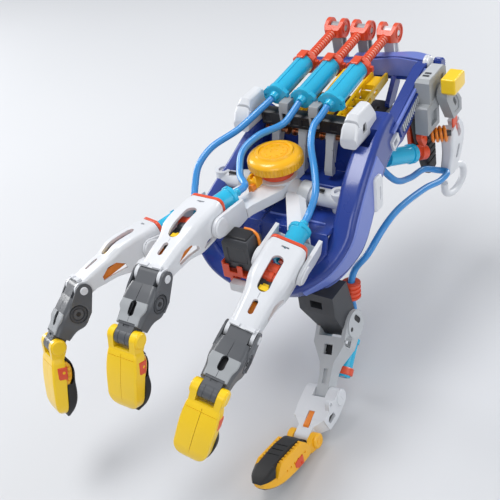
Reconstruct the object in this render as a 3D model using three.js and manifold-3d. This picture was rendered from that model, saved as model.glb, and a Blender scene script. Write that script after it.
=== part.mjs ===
// A wearable water-hydraulic mechanical hand: three fingers and a thumb, each pulled by its own
// slave cylinder, each slave fed through a hose by a master cylinder that the wearer's finger moves.
// Millimetres, +Z up out of the back of the hand, +Y towards the wearer's wrist, +X the thumb side.
import * as THREE from 'three';
import Module from 'manifold-3d';

const wasm = await Module();
wasm.setup();
const M = wasm.Manifold;

// origin shift: the underside of the hand plate is z = 0 at the origin
const ORG = [0, 70, -17];
const SEG = 14;

// ---------- small solid helpers ----------
const box = (x0, x1, y0, y1, z0, z1) => M.cube([x1 - x0, y1 - y0, z1 - z0]).translate([x0, y0, z0]);
const boxs = (w, y0, y1, z0, z1) => box(-w, w, y0, y1, z0, z1);
const cylZ = (r, z0, z1, x, y, n = SEG, r2 = r) => M.cylinder(z1 - z0, r, r2, n).translate([x, y, z0]);
const cylX = (r, x0, x1, y, z, n = SEG) => M.cylinder(x1 - x0, r, r, n).rotate([0, 90, 0]).translate([x0, y, z]);
const cylY = (r, y0, y1, x, z, n = SEG, r2 = r) => M.cylinder(y1 - y0, r, r2, n).rotate([-90, 0, 0]).translate([x, y0, z]);
const sph = (r, p, n = 12) => M.sphere(r, n).translate(p);
const hull = (...a) => M.hull(a);
const uni = (...a) => M.union(a);
const sub3 = (a, b) => [a[0] - b[0], a[1] - b[1], a[2] - b[2]];
const add3 = (a, b, s = 1) => [a[0] + b[0] * s, a[1] + b[1] * s, a[2] + b[2] * s];
const dot = (a, b) => a[0] * b[0] + a[1] * b[1] + a[2] * b[2];
const cross = (a, b) => [a[1] * b[2] - a[2] * b[1], a[2] * b[0] - a[0] * b[2], a[0] * b[1] - a[1] * b[0]];
const len = (a) => Math.sqrt(dot(a, a));
const unit = (a) => { const l = len(a); return [a[0] / l, a[1] / l, a[2] / l]; };
const rod = (v, k, deg) => {
  const t = deg * Math.PI / 180, c = Math.cos(t), s = Math.sin(t), kv = cross(k, v), kd = dot(k, v) * (1 - c);
  return [v[0] * c + kv[0] * s + k[0] * kd, v[1] * c + kv[1] * s + k[1] * kd, v[2] * c + kv[2] * s + k[2] * kd];
};
// local frame: y = along, z = up, x = y cross z
const place = (m, o, y, x) => {
  const z = cross(x, y);
  return m.transform([x[0], x[1], x[2], 0, y[0], y[1], y[2], 0, z[0], z[1], z[2], 0, o[0], o[1], o[2], 1]);
};
const rodTo = (a, b, r, r2 = r, n = SEG) => {            // round bar from a to b
  const y = unit(sub3(b, a)), ref = Math.abs(y[2]) > 0.9 ? [1, 0, 0] : [0, 0, 1], x = unit(cross(y, ref));
  return place(cylY(r, 0, len(sub3(b, a)), 0, 0, n, r2), a, y, x);
};
const chain = (pts, n = 8) => {                          // smooth limb through balls [x,y,z,r] or boxes [x,y,z,sx,sy,sz]
  const shp = pts.map((p) => p.length === 4 ? sph(p[3], p, n) : box(p[0] - p[3], p[0] + p[3], p[1] - p[4], p[1] + p[4], p[2] - p[5], p[2] + p[5]));
  const parts = [];
  for (let i = 0; i + 1 < shp.length; i++) parts.push(hull(shp[i], shp[i + 1]));
  return M.union(parts);
};
const tube = (pts, r, n, step) => {                       // closed tube along a smooth curve
  const c = new THREE.CatmullRomCurve3(pts.map((p) => new THREE.Vector3(...p)), false, 'centripetal');
  const k = Math.max(4, Math.round(c.getLength() / step)), fr = c.computeFrenetFrames(k, false), v = [], t = [];
  for (let i = 0; i <= k; i++) {
    const p = c.getPointAt(i / k), N = fr.normals[i], B = fr.binormals[i];
    for (let j = 0; j < n; j++) {
      const a = 2 * Math.PI * j / n, ca = Math.cos(a) * r, sa = Math.sin(a) * r;
      v.push(p.x + N.x * ca + B.x * sa, p.y + N.y * ca + B.y * sa, p.z + N.z * ca + B.z * sa);
    }
  }
  for (let i = 0; i < k; i++) for (let j = 0; j < n; j++) {
    const a = i * n + j, b = i * n + (j + 1) % n, d = a + n, e = b + n;
    t.push(a, b, e, a, e, d);
  }
  const c0 = v.length / 3; let p = c.getPointAt(0); v.push(p.x, p.y, p.z); p = c.getPointAt(1); v.push(p.x, p.y, p.z);
  for (let j = 0; j < n; j++) { t.push(c0, (j + 1) % n, j); t.push(c0 + 1, k * n + j, k * n + (j + 1) % n); }
  let m = new M(new wasm.Mesh({ numProp: 3, vertProperties: new Float32Array(v), triVerts: new Uint32Array(t) }));
  return m;
};

const parts = [];                                         // [name, solid, slot]
const put = (name, solid, slot) => parts.push([name, solid, slot]);

// ---------- fingers ----------
const W = 13.4, TW = 11.2;
function fingerFrames(B, h, p1, p2, p3) {
  h = unit(h);
  let d0 = unit(cross(h, [0, 0, 1])); if (d0[1] > 0) d0 = d0.map((q) => -q);
  const d = [p1, p2, p3].map((p) => rod(d0, h, p)), x = h.map((q) => -q), up = d.map((q) => cross(x, q));
  const A = add3(B, d[0], -62.4), C = add3(B, d[1], 42), E = add3(C, d[2], 48);
  const P0 = add3(add3(A, d[0], 10), up[0], -13);
  const P1 = add3(add3(B, up[0], -2.7), up[1], -2.7);
  const P2 = add3(add3(C, up[1], -2.8), up[2], -2.8);
  const P3 = add3(E, up[2], -3);
  return { P: [P0, P1, P2, P3], x, y: [unit(sub3(P1, P0)), unit(sub3(P2, P1)), unit(sub3(P3, P2))], L: [len(sub3(P1, P0)), len(sub3(P2, P1)), len(sub3(P3, P2))] };
}
function proximal(L) {
  const sec = (y0, y1, w, zt, zb, d) => hull(boxs(w - 3.2 - d, y0, y1, zb, zt - d), boxs(w - d, y0, y1, zb, zt - 4.5 - d));
  const shell = (d, yr, zb) => uni(
    hull(sec(yr, -4, W, 12.5, zb, d), sec(9, 12, W, 13.5, zb, d)),
    hull(sec(9, 12, W, 13.5, zb, d), sec(L - 14, L - 13, 9.8, 8.6, zb + 2.5, d)),
    hull(sec(L - 14, L - 13, 9.8, 8.6, zb + 2.5, d), sec(L - 5, L - 1 + d, 9.5, 6.2, zb + 3, d)));
  let m = shell(0, -10, -7).subtract(shell(2.2, -16, -14));
  m = m.subtract(hull(cylZ(3.6, 4, 30, 0, 6, 12), cylZ(2.6, 4, 30, 0, 24, 12)));         // top window
  m = m.subtract(hull(cylZ(1.6, 0, 30, 0, L - 17, 10), cylZ(1.6, 0, 30, 0, L - 11, 10))); // small slot
  m = m.subtract(hull(boxs(30, L - 30, L - 16, -2.5, 0.5), boxs(30, L - 26, L - 22, -2.5, 4)));  // side windows
  m = m.add(hull(boxs(9.5, L - 9, L - 5, -4, 2), cylX(5.2, -9.5, 9.5, L, 0)).subtract(boxs(7.2, L - 20, L + 9, -9, 9)));
  m = m.subtract(cylX(6.6, -7.2, 7.2, L, 0)).subtract(cylX(2.6, -12, 12, L, 0, 12));
  m = m.add(hull(boxs(W, -6, 6, -6, 2), cylX(5.5, -W, W, 0, 0)).subtract(boxs(W - 2.2, -20, 20, -20, 20)));
  return m.add(cylX(3, W - 0.6, W + 2.9, 0, 0, 12)).add(cylX(3, -W - 2.9, -W + 0.6, 0, 0, 12));
}
function middle(L) {
  let m = uni(hull(cylX(5.2, -6.9, 6.9, 0, 0), boxs(6.9, 7, 9, -6, 5)),
    hull(boxs(10.4, 7.6, 9, -6.5, 3), boxs(7.5, 7.6, 9, -6.5, 5.4), boxs(10.8, 15, 20, -11.5, 1.5), boxs(7, 15, 20, -11.5, 5.6), boxs(9.4, L - 9, L - 6.4, -6, 3), boxs(6.5, L - 9, L - 6.4, -6, 5)),
    hull(boxs(5.8, L - 8, L - 6, -4.5, 4.4), cylX(4.9, -5.8, 5.8, L, 0)));
  m = m.subtract(cylX(2.5, -12, 12, L, 0, 12));
  m = m.subtract(boxs(6.2, 11, L - 12, -20, 2.6));                                       // hollow from below
  m = m.subtract(hull(cylZ(1.5, 0, 30, 0, 15, 10), cylZ(1.5, 0, 30, 0, 22, 10)));        // slot
  return uni(m, cylX(2.3, -9.4, 9.4, 0, 0, 12), cylX(5.6, -11.4, 11.4, 15, -3, 14).subtract(boxs(10, 0, L, -20, 20)));
}
function tip(L) {
  const ears = hull(cylX(5.2, -9.8, 9.8, 0, 0), boxs(9.8, 6.5, 8, -3, 4.4)).subtract(hull(cylX(6.4, -6.1, 6.1, 0, 0), boxs(6.1, -8, 0, -8, 8)));
  return uni(ears, cylX(2.1, -9, 9, 0, 0, 12),
    hull(boxs(9.8, 7, 8, -3, 4.4), boxs(TW, 12, 15, -3, 3.2), boxs(9, 12, 15, -3, 5.4), boxs(TW, L - 9, L - 8, -3, 2.6), boxs(9, L - 9, L - 8, -3, 4.8), boxs(9.2, L - 4, L - 3.4, -3, 2.2), boxs(5.4, L - 1, L - 0.4, -3, 1)),
    hull(boxs(10.2, 10, L - 18, -4, -2.5), boxs(10.2, 13, L - 24, -8, -2.5)));
}
function pad(L) {
  return hull(boxs(8.6, 8.4, 10, -5.6, -3.35), boxs(9.6, 13, 15, -9.2, -3.35), boxs(10.8, L - 14, L - 11, -9.6, -3.35), boxs(9, L - 4.4, L - 3.4, -7.6, -3.35), boxs(5, L, L + 1.2, -5, -3.35));
}
function bracket() {
  const cheek = (s) => { const m = hull(cylX(6.6, W + 0.4, W + 2.9, 0, 0, 14), box(W + 0.4, W + 2.9, -27, -20, -13, 1)).subtract(cylX(3.35, 10, 18, 0, 0, 12)); return s > 0 ? m : m.mirror([1, 0, 0]); };
  return uni(cheek(1), cheek(-1), boxs(W + 2.9, -27, -20, -13, -7.2));
}
const slaveCyl = (yaw) => uni(cylY(6.6, -30, -1.5, 0, 1.6, 14), cylY(2.6, -35, -29, 0, 1.6, 8), cylY(7.6, -30, -26.5, 0, 1.6, 14), cylX(2, -9.2, 9.2, -15, 1.6, 8)).translate([0, 8, 0]).rotate([0, 0, yaw]).translate([0, -8, 0]);

const F = [
  fingerFrames([-80.4, -124, -31], [0.87, -0.39, 0.28], 15.5, 43, 75),
  fingerFrames([-14.3, -119.5, -5.9], [1, 0, 0], 12.2, 32.9, 72.3),
  fingerFrames([40.7, -113.3, -39.3], [0.95, 0.10, -0.30], 22.5, 20.9, 68.2)];
const fingerRear = [];
F.forEach((q, i) => {
  const n = i + 1, at = (m, k) => place(m, q.P[k], q.y[k], q.x);
  put(`finger${n}_proximal`, at(proximal(q.L[0]), 0), 'white_plastic');
  put(`finger${n}_middle`, at(middle(q.L[1]), 1), 'grey_plastic');
  put(`finger${n}_tip`, at(tip(q.L[2]), 2), 'yellow_plastic');
  put(`finger${n}_pad`, at(pad(q.L[2]), 2), 'black_rubber');
  const yaw = [0, -17, 0][i];
  put(`slave_cylinder${n}`, at(slaveCyl(yaw), 0), 'cyan_clear');
  put(`knuckle_bracket${n}`, at(bracket(), 0), 'white_plastic');
  const w = (p) => { const z = cross(q.x, q.y[0]); return [0, 1, 2].map((j) => q.P[0][j] + q.x[j] * p[0] + q.y[0][j] * p[1] + z[j] * p[2]); };
  const ys = Math.sin(yaw * Math.PI / 180), yc = Math.cos(yaw * Math.PI / 180);
  fingerRear.push({ hose: w([27 * ys, -8 - 27 * yc, 1.6]), hose2: w([33 * ys, -8 - 33 * yc, 2.4]), root2: w([0, -33, -9]) });
});

// ---------- thumb ----------
const T = [[47, -15.2, -112], [52.5, -55.2, -143.8], [54, -88.3, -152.4], [52.4, -142.5, -143.1]];
const th = unit([0.985, 0, 0.17]), tx = th.map((q) => -q);
const ortho = (v) => unit(add3(v, th, -dot(v, th)));
const ty = [ortho(sub3(T[1], T[0])), ortho(sub3(T[2], T[1])), ortho(sub3(T[3], T[2]))];
{
  const L0 = len(sub3(T[1], T[0])), L1 = len(sub3(T[2], T[1])), L2 = len(sub3(T[3], T[2]));
  // base: block hanging under the frame, carrying the thumb root pin
  const base = uni(box(44, 58, -8, -1, -97, -85), hull(box(42, 52, -12, -6, -92, -84), box(46, 56, -6, -3, -92, -86)), hull(box(27, 54, -32, -12, -92, -76), place(cylX(9, -8.6, 8.6, 0, 0), T[0], ty[0], tx)));
  put('thumb_base', base.subtract(place(cylX(2.6, -20, 20, 0, 0, 12), T[0], ty[0], tx)), 'dark_grey_plastic');
  // metacarpal: two round-eared cheeks joined by a web
  let mt = uni(hull(cylX(10, -12, 12, 0, 0), boxs(12, 6, 18, -7, 9)), hull(boxs(12, 14, 18, -7, 9), boxs(12, 28, 30, -6, 6.5)), hull(boxs(12, 28, 30, -6, 6.5), boxs(4.6, 36.5, 38.5, -4.5, 5)));
  mt = mt.subtract(hull(cylX(10.6, -9, 9, 0, 0), boxs(9, -12, 12, -12, 12))).subtract(boxs(8, 10, 22, -12, 5.2)).add(cylX(2.2, -12, 12, 0, 0, 12));
  mt = mt.add(hull(boxs(4.6, 36, 38.5, -4.5, 5), cylX(5, -4.6, 4.6, L0, 0))).subtract(cylX(2.5, -14, 14, L0, 0, 12)).subtract(boxs(3.4, 17.5, 24.5, 2, 20));
  put('thumb_metacarpal', place(mt, T[0], ty[0], tx), 'light_grey_plastic');
  let ph = uni(hull(cylX(6.4, -13, 13, 0, 0), boxs(13, 9, 13, -7, 6)), hull(boxs(13, 9, 13, -7, 6), boxs(12, 19, 22, -6, 5.5)), hull(boxs(12, 19, 21, -6, 5.5), boxs(5.6, L1 - 8, L1 - 6.6, -4.6, 4.6)), hull(boxs(5.6, L1 - 8, L1 - 6.6, -4.6, 4.6), cylX(4.9, -5.7, 5.7, L1, 0)));
  ph = ph.subtract(hull(cylX(6.1, -5, 5, 0, 0), boxs(5, -12, 4, -14, 14))).subtract(cylX(2.5, -14, 14, L1, 0, 12)).subtract(boxs(5, 10, L1 - 10, -20, 3)).subtract(hull(boxs(20, 12, 19, -2.5, 1), boxs(20, 14, 17, -2.5, 2.5)));
  put('thumb_phalanx', place(uni(ph, cylX(2.2, -9, 9, 0, 0, 12)), T[1], ty[1], tx), 'white_plastic');
  const rim = uni(hull(cylX(5.2, -9.8, 9.8, 0, 0), boxs(9.8, 6.5, 8, -3, 4.4)).subtract(hull(cylX(6.4, -6.1, 6.1, 0, 0), boxs(6.1, -8, 0, -8, 8))), cylX(2.1, -9, 9, 0, 0, 12),
    hull(boxs(9.8, 7, 8, -3, 4.4), boxs(9.8, 14, 18, -3, 6.4), boxs(9.6, L2 - 22, L2 - 18, -3, 6), boxs(7.6, L2 - 8, L2 - 6, -3, 3.4), boxs(3.6, L2 - 1.4, L2 - 0.4, -3, 0.8)),
    hull(boxs(9.4, 10.5, L2 - 12, -4, -2.5), boxs(9.4, 16, L2 - 20, -7.6, -2.5)));
  put('thumb_tip', place(rim.mirror([0, 0, 1]), T[2], ty[2], tx), 'yellow_plastic');
  put('thumb_pad', place(hull(boxs(8.6, 8.6, 12, -7, -3.35), boxs(9.4, 20, L2 - 20, -10.5, -3.35), boxs(7.6, L2 - 8, L2 - 6, -8.6, -3.35), boxs(3.4, L2 - 0.6, L2 + 1, -5.4, -3.35)).mirror([0, 0, 1]), T[2], ty[2], tx), 'black_rubber');
}
const tz = cross(tx, ty[0]);
const tl = (a, b, c) => [0, 1, 2].map((k) => T[0][k] + tx[k] * a + ty[0][k] * b + tz[k] * c);
const TC = [tl(-2.5, 8, -15.6), tl(-2.5, 36, -14.4)], TN = tl(-2.5, 3, -15.8);
put('thumb_slave_cylinder', uni(rodTo(TC[0], TC[1], 5.6, 5.6, 16), rodTo(TN, TC[0], 2.6, 2.6, 10), rodTo(add3(TC[0], unit(sub3(TC[1], TC[0])), -0.5), add3(TC[0], unit(sub3(TC[1], TC[0])), 4), 6.6, 6.6, 16)), 'cyan_clear');

// ---------- blue frame ----------
put('frame_right', chain([[52, 60, -4, 8, 9, 15], [55, 22, -14, 8, 10, 16], [55.5, -3, -43, 7.5, 13, 15.5], [36, -33, -66, 10, 8, 10], [16, -38, -71, 12, 6, 7], [1, -39, -71.5, 0.8, 6, 6.5]])
  .add(hull(box(52, 60, 62, 74, -16, 4), box(52, 60, 112, 122, 2, 22))).add(hull(box(0.5, 50, -16, 34, -34, -31), box(0.5, 50, -22, 44, -33.4, -31.6))), 'blue_plastic');
put('frame_left', chain([[-38, 58, -5, 5, 8, 11.6], [-37, 30, -14, 5, 9, 12], [-44, 6, -30, 6, 9, 11], [-48, -12, -46, 7, 9, 12], [-36, -33, -64, 10, 8, 9], [-16, -38, -71, 12, 6, 7], [-1, -39, -71.5, 0.8, 6, 6.5]])
  .add(hull(box(-42, -0.5, -16, 34, -34, -31), box(-36, -0.5, -22, 44, -33.4, -31.6))), 'blue_plastic');
put('crossbar', uni(box(-30.8, 38.8, 40, 52, 3, 13), box(-16, -8, 42, 50, 12, 22), box(8, 16, 42, 50, 12, 22)), 'black_plastic');
const cap = () => hull(box(39.2, 52, 28, 56, 8, 18), box(41, 50, 33, 52, 18, 26), box(39.2, 52, 24, 50, 4, 12)).subtract(box(49, 60, 34, 40, 10, 16));
put('end_cap_right', cap(), 'white_plastic');
put('end_cap_left', cap().mirror([1, 0, 0]).translate([8, 0, 0]), 'white_plastic');
put('hand_plate', hull(box(-32.4, 32.4, 56, 118, -17, -13.5), box(-29, 29, 52, 122, -17, -13.5)), 'black_plastic');
put('side_cover', hull(box(63.3, 66.5, 18, 30, -16, -8), box(63.3, 66, 16, 28, -40, -30)), 'white_plastic');

// ---------- deck under the knob ----------
put('deck', uni(hull(cylZ(15, -20, -10, 0, 5.8, 24), box(-12, 12, 10, 24, -20, -12)),
  chain([[0, 5, -17, 7], [24, 3, -21, 6], [45.7, 5.8, -24, 6]]), chain([[0, 5, -17, 7], [-24, 3, -21, 6], [-45.7, 5.8, -24, 6]]),
  cylZ(5.6, -30, -16.6, 45.7, 5.8, 16), cylZ(5.6, -30, -16.6, -45.7, 5.8, 16),
  hull(box(-1, 11, -8, 4, -21, -14), box(-8, 4, -34, -28, -18, -11)), hull(box(-12, 8, -34, -28, -18, -10), box(-26, 0, -42, -37, -21, -12)),
  hull(box(12, 22, -8, 2, -25.5, -17.5), box(26, 46, -38, -30, -36, -26)),
  hull(box(-24, -6, -8, 2, -26, -17), box(-56, -38, -38, -30, -40, -30))), 'white_plastic');
put('knob', uni(cylZ(19, -6, -1, 0, 5.8, 28), cylZ(19, -1, 2.4, 0, 5.8, 28, 16.5), cylZ(12, 2.3, 4.6, 0, 5.8, 24)).translate([0, 0, 2.5]), 'yellow_plastic');
put('knob_stem', cylZ(6, -9.6, -3.85, 0, 5.8, 16), 'red_plastic');
put('relay_box', hull(box(-1, 20, -66, -50, -36, -18), box(1, 18, -64, -52, -40, -16)), 'dark_grey_plastic');
put('relay_saddle', hull(box(0, 20, -66, -42, -50, -45), box(4, 16, -62, -48, -42, -40.4)), 'red_plastic');

// ---------- master cylinders, plungers, links, levers ----------
const my = unit([0, 93.3, 8.3]);
[-21.5, 0, 21.5].forEach((x0, i) => {
  const n = i + 1, o = [x0, 49.7, 22.7], X = [1, 0, 0];
  const at = (m) => place(m, o, my, X);
  put(`master_cylinder${n}`, at(uni(cylY(6.9, 0, 44, 0, 0, 18), cylY(8.2, -2, 3, 0, 0, 18), boxs(9.4, -2, 2, -4, 2), cylY(3, -6, -1, 0, 0, 10), cylY(8.4, 41, 46.5, 0, 0, 8)).subtract(cylY(3.6, 3, 60, 0, 0, 12))), 'cyan_clear');
  const pl = uni(cylY(3.2, 40, 88, 0, 0, 10), hull(boxs(7.2, 84, 88, -4, 4), cylX(7, -7.2, 7.2, 93.7, 0, 16)).subtract(boxs(4.2, 87.4, 110, -12, 12))).subtract(hull(cylX(2.4, -12, 12, 93.7, 0.1, 12), cylX(2.4, -12, 12, 93.7, -0.7, 12)));
  put(`plunger${n}`, at(pl), 'red_plastic');
  const c = add3(o, my, 93.7), b = [x0, c[1] + 2.835, c[2] - 31.874];
  const yk = uni(hull(cylX(4.2, x0 - 3.9, x0 + 3.9, c[1], c[2], 14), cylX(4.4, x0 - 3.9, x0 + 3.9, b[1], b[2], 14)), cylX(2, x0 - 7, x0 + 7, c[1], c[2], 12)).subtract(cylX(2.3, x0 - 9, x0 + 9, b[1], b[2], 12));
  put(`rocker_link${n}`, yk, n === 3 ? 'white_plastic' : 'grey_plastic');
  // finger lever: bent grey arm in front of the crossbar, yellow channel behind it
  const p = [x0, 44, -2.4];
  let lv = uni(hull(cylX(4, x0 - 6.6, x0 + 6.6, 46, -2.4, 12), box(x0 - 6.6, x0 + 6.6, 50, 58, -5, 1)), hull(box(x0 - 6.6, x0 + 6.6, 54, 60, -5, 1), box(x0 - 6.6, x0 + 6.6, 114, 122, 3.4, 9.4)));
  lv = lv.subtract(box(x0 - 4.6, x0 + 4.6, 52, 140, -1.8, 30).subtract(box(x0 - 9, x0 + 9, 108, 140, -10, 30))).subtract(box(x0 - 4.6, x0 + 4.6, 107, 140, 5.6, 30));
  lv = lv.add(hull(cylX(3.6, x0 - 3, x0 + 3, 46, -2.4, 12), box(x0 - 3, x0 + 3, 35, 39, -27, -23))).subtract(cylX(2.1, x0 - 9, x0 + 9, 46, -2.4, 12));
  put(`finger_lever${n}`, lv, 'yellow_plastic');
});

// ---------- wrist end ----------
const lug = (x0) => uni(...[-1, 1].map((q) => hull(cylX(4.4, x0 + q * 5.8 - 1.4, x0 + q * 5.8 + 1.4, 145.8, -0.85, 12), box(x0 + q * 5.8 - 1.4, x0 + q * 5.8 + 1.4, 130, 134, 0, 8))), cylX(2, x0 - 6, x0 + 6, 145.8, -0.85, 12));
put('rear_beam', uni(chain([[-36, 129, 5, 6, 4, 6], [0, 130.6, 7, 6, 4, 6], [34, 130.6, 11, 6, 4, 10], [50, 129.6, 12, 5, 6, 9]]), hull(box(54, 58, 123, 130, 4, 22), box(44, 52, 123, 135, 4, 22)), lug(-21.5), lug(0), lug(21.5),
  ...[-30.8, 30.8].map((q) => hull(box(q - 1.8, q + 1.8, 127, 132, -2, 6), box(q - 1.8, q + 1.8, 112, 121, -13.6, -10)))), 'blue_plastic');
put('grip_pad', chain([[57, 112, -16, 4, 8, 8], [58, 116, -40, 4, 9, 8], [58, 120, -62, 4, 7, 6]]), 'black_rubber');
put('lever_housing', hull(box(62.4, 72, 92, 110, -18, 2), box(62.4, 70, 104, 124, 2, 18)), 'grey_plastic');
put('thumb_lever', uni(hull(cylX(6, 72.5, 78, 112, 6, 14), box(73, 78, 118, 132, -18, -10)), hull(box(73, 84, 108, 124, 6, 16), box(76, 86, 104, 116, 8, 18))), 'yellow_plastic');
put('thumb_bracket', uni(chain([[72.5, 127, -24, 3.5, 8, 6], [72.5, 130, -46, 3.5, 9, 6], [71, 121, -64, 3.5, 6, 4]]), tube([[71, 119, -66], [72, 124, -68], [73, 138, -69], [74, 146, -75], [74, 146, -84], [73, 136, -89], [72, 124, -87], [71, 118, -82], [71, 117, -74]], 2.8, 7, 8)), 'white_plastic');
put('return_spring', tube(Array.from({ length: 33 }, (_, i) => { const a = i / 8 * 2 * Math.PI, t = i / 32; return [65 + 11 * t - 2.1 * Math.cos(a), 109 + 5 * t + 4.6 * Math.cos(a), -28.6 + 5 * Math.sin(a)]; }), 1.1, 6, 3.4), 'orange_metal');
put('thumb_master_cylinder', uni(rodTo([50, 66, -26], [58, 92, -36], 6.4, 6.4, 16), rodTo([49, 62, -24.5], [50, 66, -26], 3, 3, 10)).subtract(rodTo([57, 88.75, -34.75], [59.2, 95.9, -37.5], 3.7, 3.7, 16)), 'cyan_clear');
put('thumb_plunger', uni(rodTo([58.2, 92.6, -36.3], [61, 101, -39.5], 3.2, 3.2, 12), rodTo([60, 98.5, -38.5], [62, 104, -40.8], 5.6, 5.6, 12)), 'red_plastic');

// ---------- hoses ----------
const hose = (n, pts) => put(`hose${n}`, tube(pts, 2.4, 8, 11), 'blue_hose');
hose(1, [[-21.5, 43.4, 22.2], [-24, 38, 20], [-34.6, 17.6, 10.5], [-46.5, -1.6, 4.3], [-50.1, -14.2, -3.3], [-48.5, -24, -13], fingerRear[0].hose2, fingerRear[0].hose]);
hose(2, [[0, 43.4, 22.2], [-1.5, 37, 18.5], [-4.2, 27.8, 14], [-15.5, 11.5, 11.5], [-20.5, -1.4, 6], [-14, -17, -1.5], fingerRear[1].hose2, fingerRear[1].hose]);
hose(3, [[21.5, 43.4, 22.2], [20.5, 36, 19], [19, 28.5, 16], [22.3, 16.5, 9], [30.6, 3.6, -2.5], [37.5, -9.7, -10], fingerRear[2].hose2, fingerRear[2].hose]);
hose(4, [[48.6, 60.6, -24], [50, 56, -25], [58, 62, -40], [60, 82, -50], [62.5, 101.7, -54], [68, 112, -60], [75.5, 112, -60], [75.6, 100, -60], [71.7, 81.3, -56], [67.4, 44.1, -51.5], [66.5, 22, -53], [62, 6, -64], [53, 3, -77], [51.5, -2, -86], [51.5, -3, -96], [51.3, -2.2, -104], [51, -1.6, -112], [51.3, -4, -120.5], TN]);

// ---------- keep every neighbour 0.3 mm clear, then hand the pieces over ----------
const bb = (m) => { const b = m.boundingBox(); return b; };
const near = (a, b) => [0, 1, 2].every((i) => a.min[i] <= b.max[i] + 0.6 && b.min[i] <= a.max[i] + 0.6);
const grow = (m, g) => uni(m, ...[[g, 0, 0], [-g, 0, 0], [0, g, 0], [0, -g, 0], [0, 0, g], [0, 0, -g]].map((t) => m.translate(t)));
const order = ['knob', 'knob_stem', 'hose1', 'hose2', 'hose3', 'hose4', 'crossbar', 'end_cap', 'knuckle', 'slave', 'master', 'plunger', 'rocker', 'finger', 'hand_plate', 'thumb_', 'lever', 'return', 'relay', 'side', 'grip', 'rear', 'deck', 'frame'];
const rank = (n) => { const k = order.findIndex((o) => n.startsWith(o)); return k < 0 ? order.length : k; };
const sorted = parts.map((p, i) => ({ n: p[0], m: p[1], s: p[2], r: rank(p[0]), i })).sort((a, b) => a.r - b.r || a.i - b.i);
for (let j = 1; j < sorted.length; j++) for (let i = 0; i < j; i++) {
  if (!near(bb(sorted[i].m), bb(sorted[j].m))) continue;
  if (sorted[i].m.intersect(sorted[j].m).isEmpty()) continue;
  sorted[j].m = sorted[j].m.subtract(grow(sorted[i].m, 0.3));
}
// ---------- running clearance: static neighbours are cut back along the travel of what moves past them ----------
const piece = (n) => sorted.find((q) => q.n === n);
const turned = (m, o, k, deg) => {
  const X = rod([1, 0, 0], k, deg), Y = rod([0, 1, 0], k, deg), Z = rod([0, 0, 1], k, deg);
  return m.translate(o.map((q) => -q)).transform([...X, 0, ...Y, 0, ...Z, 0, 0, 0, 0, 1]).translate(o);
};
const sweep = (still, moving, degs, o, k) => { const s0 = piece(still); for (const d of degs) s0.m = s0.m.subtract(grow(turned(piece(moving).m, o, k, d), 0.2)); };
sweep('thumb_base', 'thumb_metacarpal', [-14.4, -9, -4.5, 3.4], T[0], th);
sweep('thumb_bracket', 'thumb_lever', [-8.8, -7.6, -6.4, -5.2, -4, -3, -2, -1, 1, 2.2], [75, 112, 6], [1, 0, 0]);
sweep('lever_housing', 'thumb_lever', [-8.8, -6.6, -4.4, -2.2, 2.2], [75, 112, 6], [1, 0, 0]);
piece('grip_pad').m = piece('grip_pad').m.subtract(rodTo([60, 98.5, -38.5], [63.6, 109, -42.9], 6.2, 6.2, 12));

const COL = { white_plastic: 0xf2f3f5, grey_plastic: 0x8b9096, light_grey_plastic: 0xb9bdc2, dark_grey_plastic: 0x3c4046, yellow_plastic: 0xffc21c, red_plastic: 0xd93a22, blue_plastic: 0x1f3fa0, black_plastic: 0x17181b, black_rubber: 0x101114, cyan_clear: 0x25a8d8, blue_hose: 0x3f9fe0, orange_metal: 0xf0861e };
const group = new THREE.Group();
group.name = 'hydraulic_hand';
for (const p of sorted) {
  let m = p.m.translate(ORG.map((q) => -q));
  const all = m.decompose().sort((a, b) => Math.abs(b.volume()) - Math.abs(a.volume()));
  m = all[0];
  const g = m.getMesh(), geo = new THREE.BufferGeometry(), np = g.numProp, vp = g.vertProperties, pos = new Float32Array(vp.length / np * 3);
  for (let i = 0; i < vp.length / np; i++) { pos[3 * i] = vp[np * i]; pos[3 * i + 1] = vp[np * i + 1]; pos[3 * i + 2] = vp[np * i + 2]; }
  geo.setAttribute('position', new THREE.BufferAttribute(pos, 3));
  geo.setIndex(new THREE.BufferAttribute(new Uint32Array(g.triVerts), 1));
  const mesh = new THREE.Mesh(geo, new THREE.MeshStandardMaterial({ color: COL[p.s], roughness: 0.5 }));
  mesh.name = p.n;
  group.add(mesh);
}
export default group;
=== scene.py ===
import math
import bpy
import bmesh
import numpy as np
from mathutils import Matrix, Vector


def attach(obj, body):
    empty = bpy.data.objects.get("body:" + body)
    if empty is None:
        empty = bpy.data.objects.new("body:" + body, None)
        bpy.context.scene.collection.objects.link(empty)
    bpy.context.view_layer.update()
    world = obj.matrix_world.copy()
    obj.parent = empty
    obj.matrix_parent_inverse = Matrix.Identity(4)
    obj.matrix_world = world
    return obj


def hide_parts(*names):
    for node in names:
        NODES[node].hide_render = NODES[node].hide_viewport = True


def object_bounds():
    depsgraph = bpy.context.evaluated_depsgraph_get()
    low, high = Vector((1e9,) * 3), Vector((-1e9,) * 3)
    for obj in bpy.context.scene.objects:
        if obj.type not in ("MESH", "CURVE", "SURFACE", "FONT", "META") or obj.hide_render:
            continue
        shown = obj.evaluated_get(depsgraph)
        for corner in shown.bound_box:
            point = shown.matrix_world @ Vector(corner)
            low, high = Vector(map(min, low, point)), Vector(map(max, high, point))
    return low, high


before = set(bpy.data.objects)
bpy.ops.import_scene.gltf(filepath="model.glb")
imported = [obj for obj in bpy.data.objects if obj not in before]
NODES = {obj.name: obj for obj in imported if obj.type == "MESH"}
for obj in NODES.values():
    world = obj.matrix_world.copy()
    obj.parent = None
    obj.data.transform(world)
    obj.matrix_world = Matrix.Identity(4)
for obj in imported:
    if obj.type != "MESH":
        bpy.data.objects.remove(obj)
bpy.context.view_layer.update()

ORG = np.array([0, 70, -17.0])          # model drawing coordinates (mm) -> row frame

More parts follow.
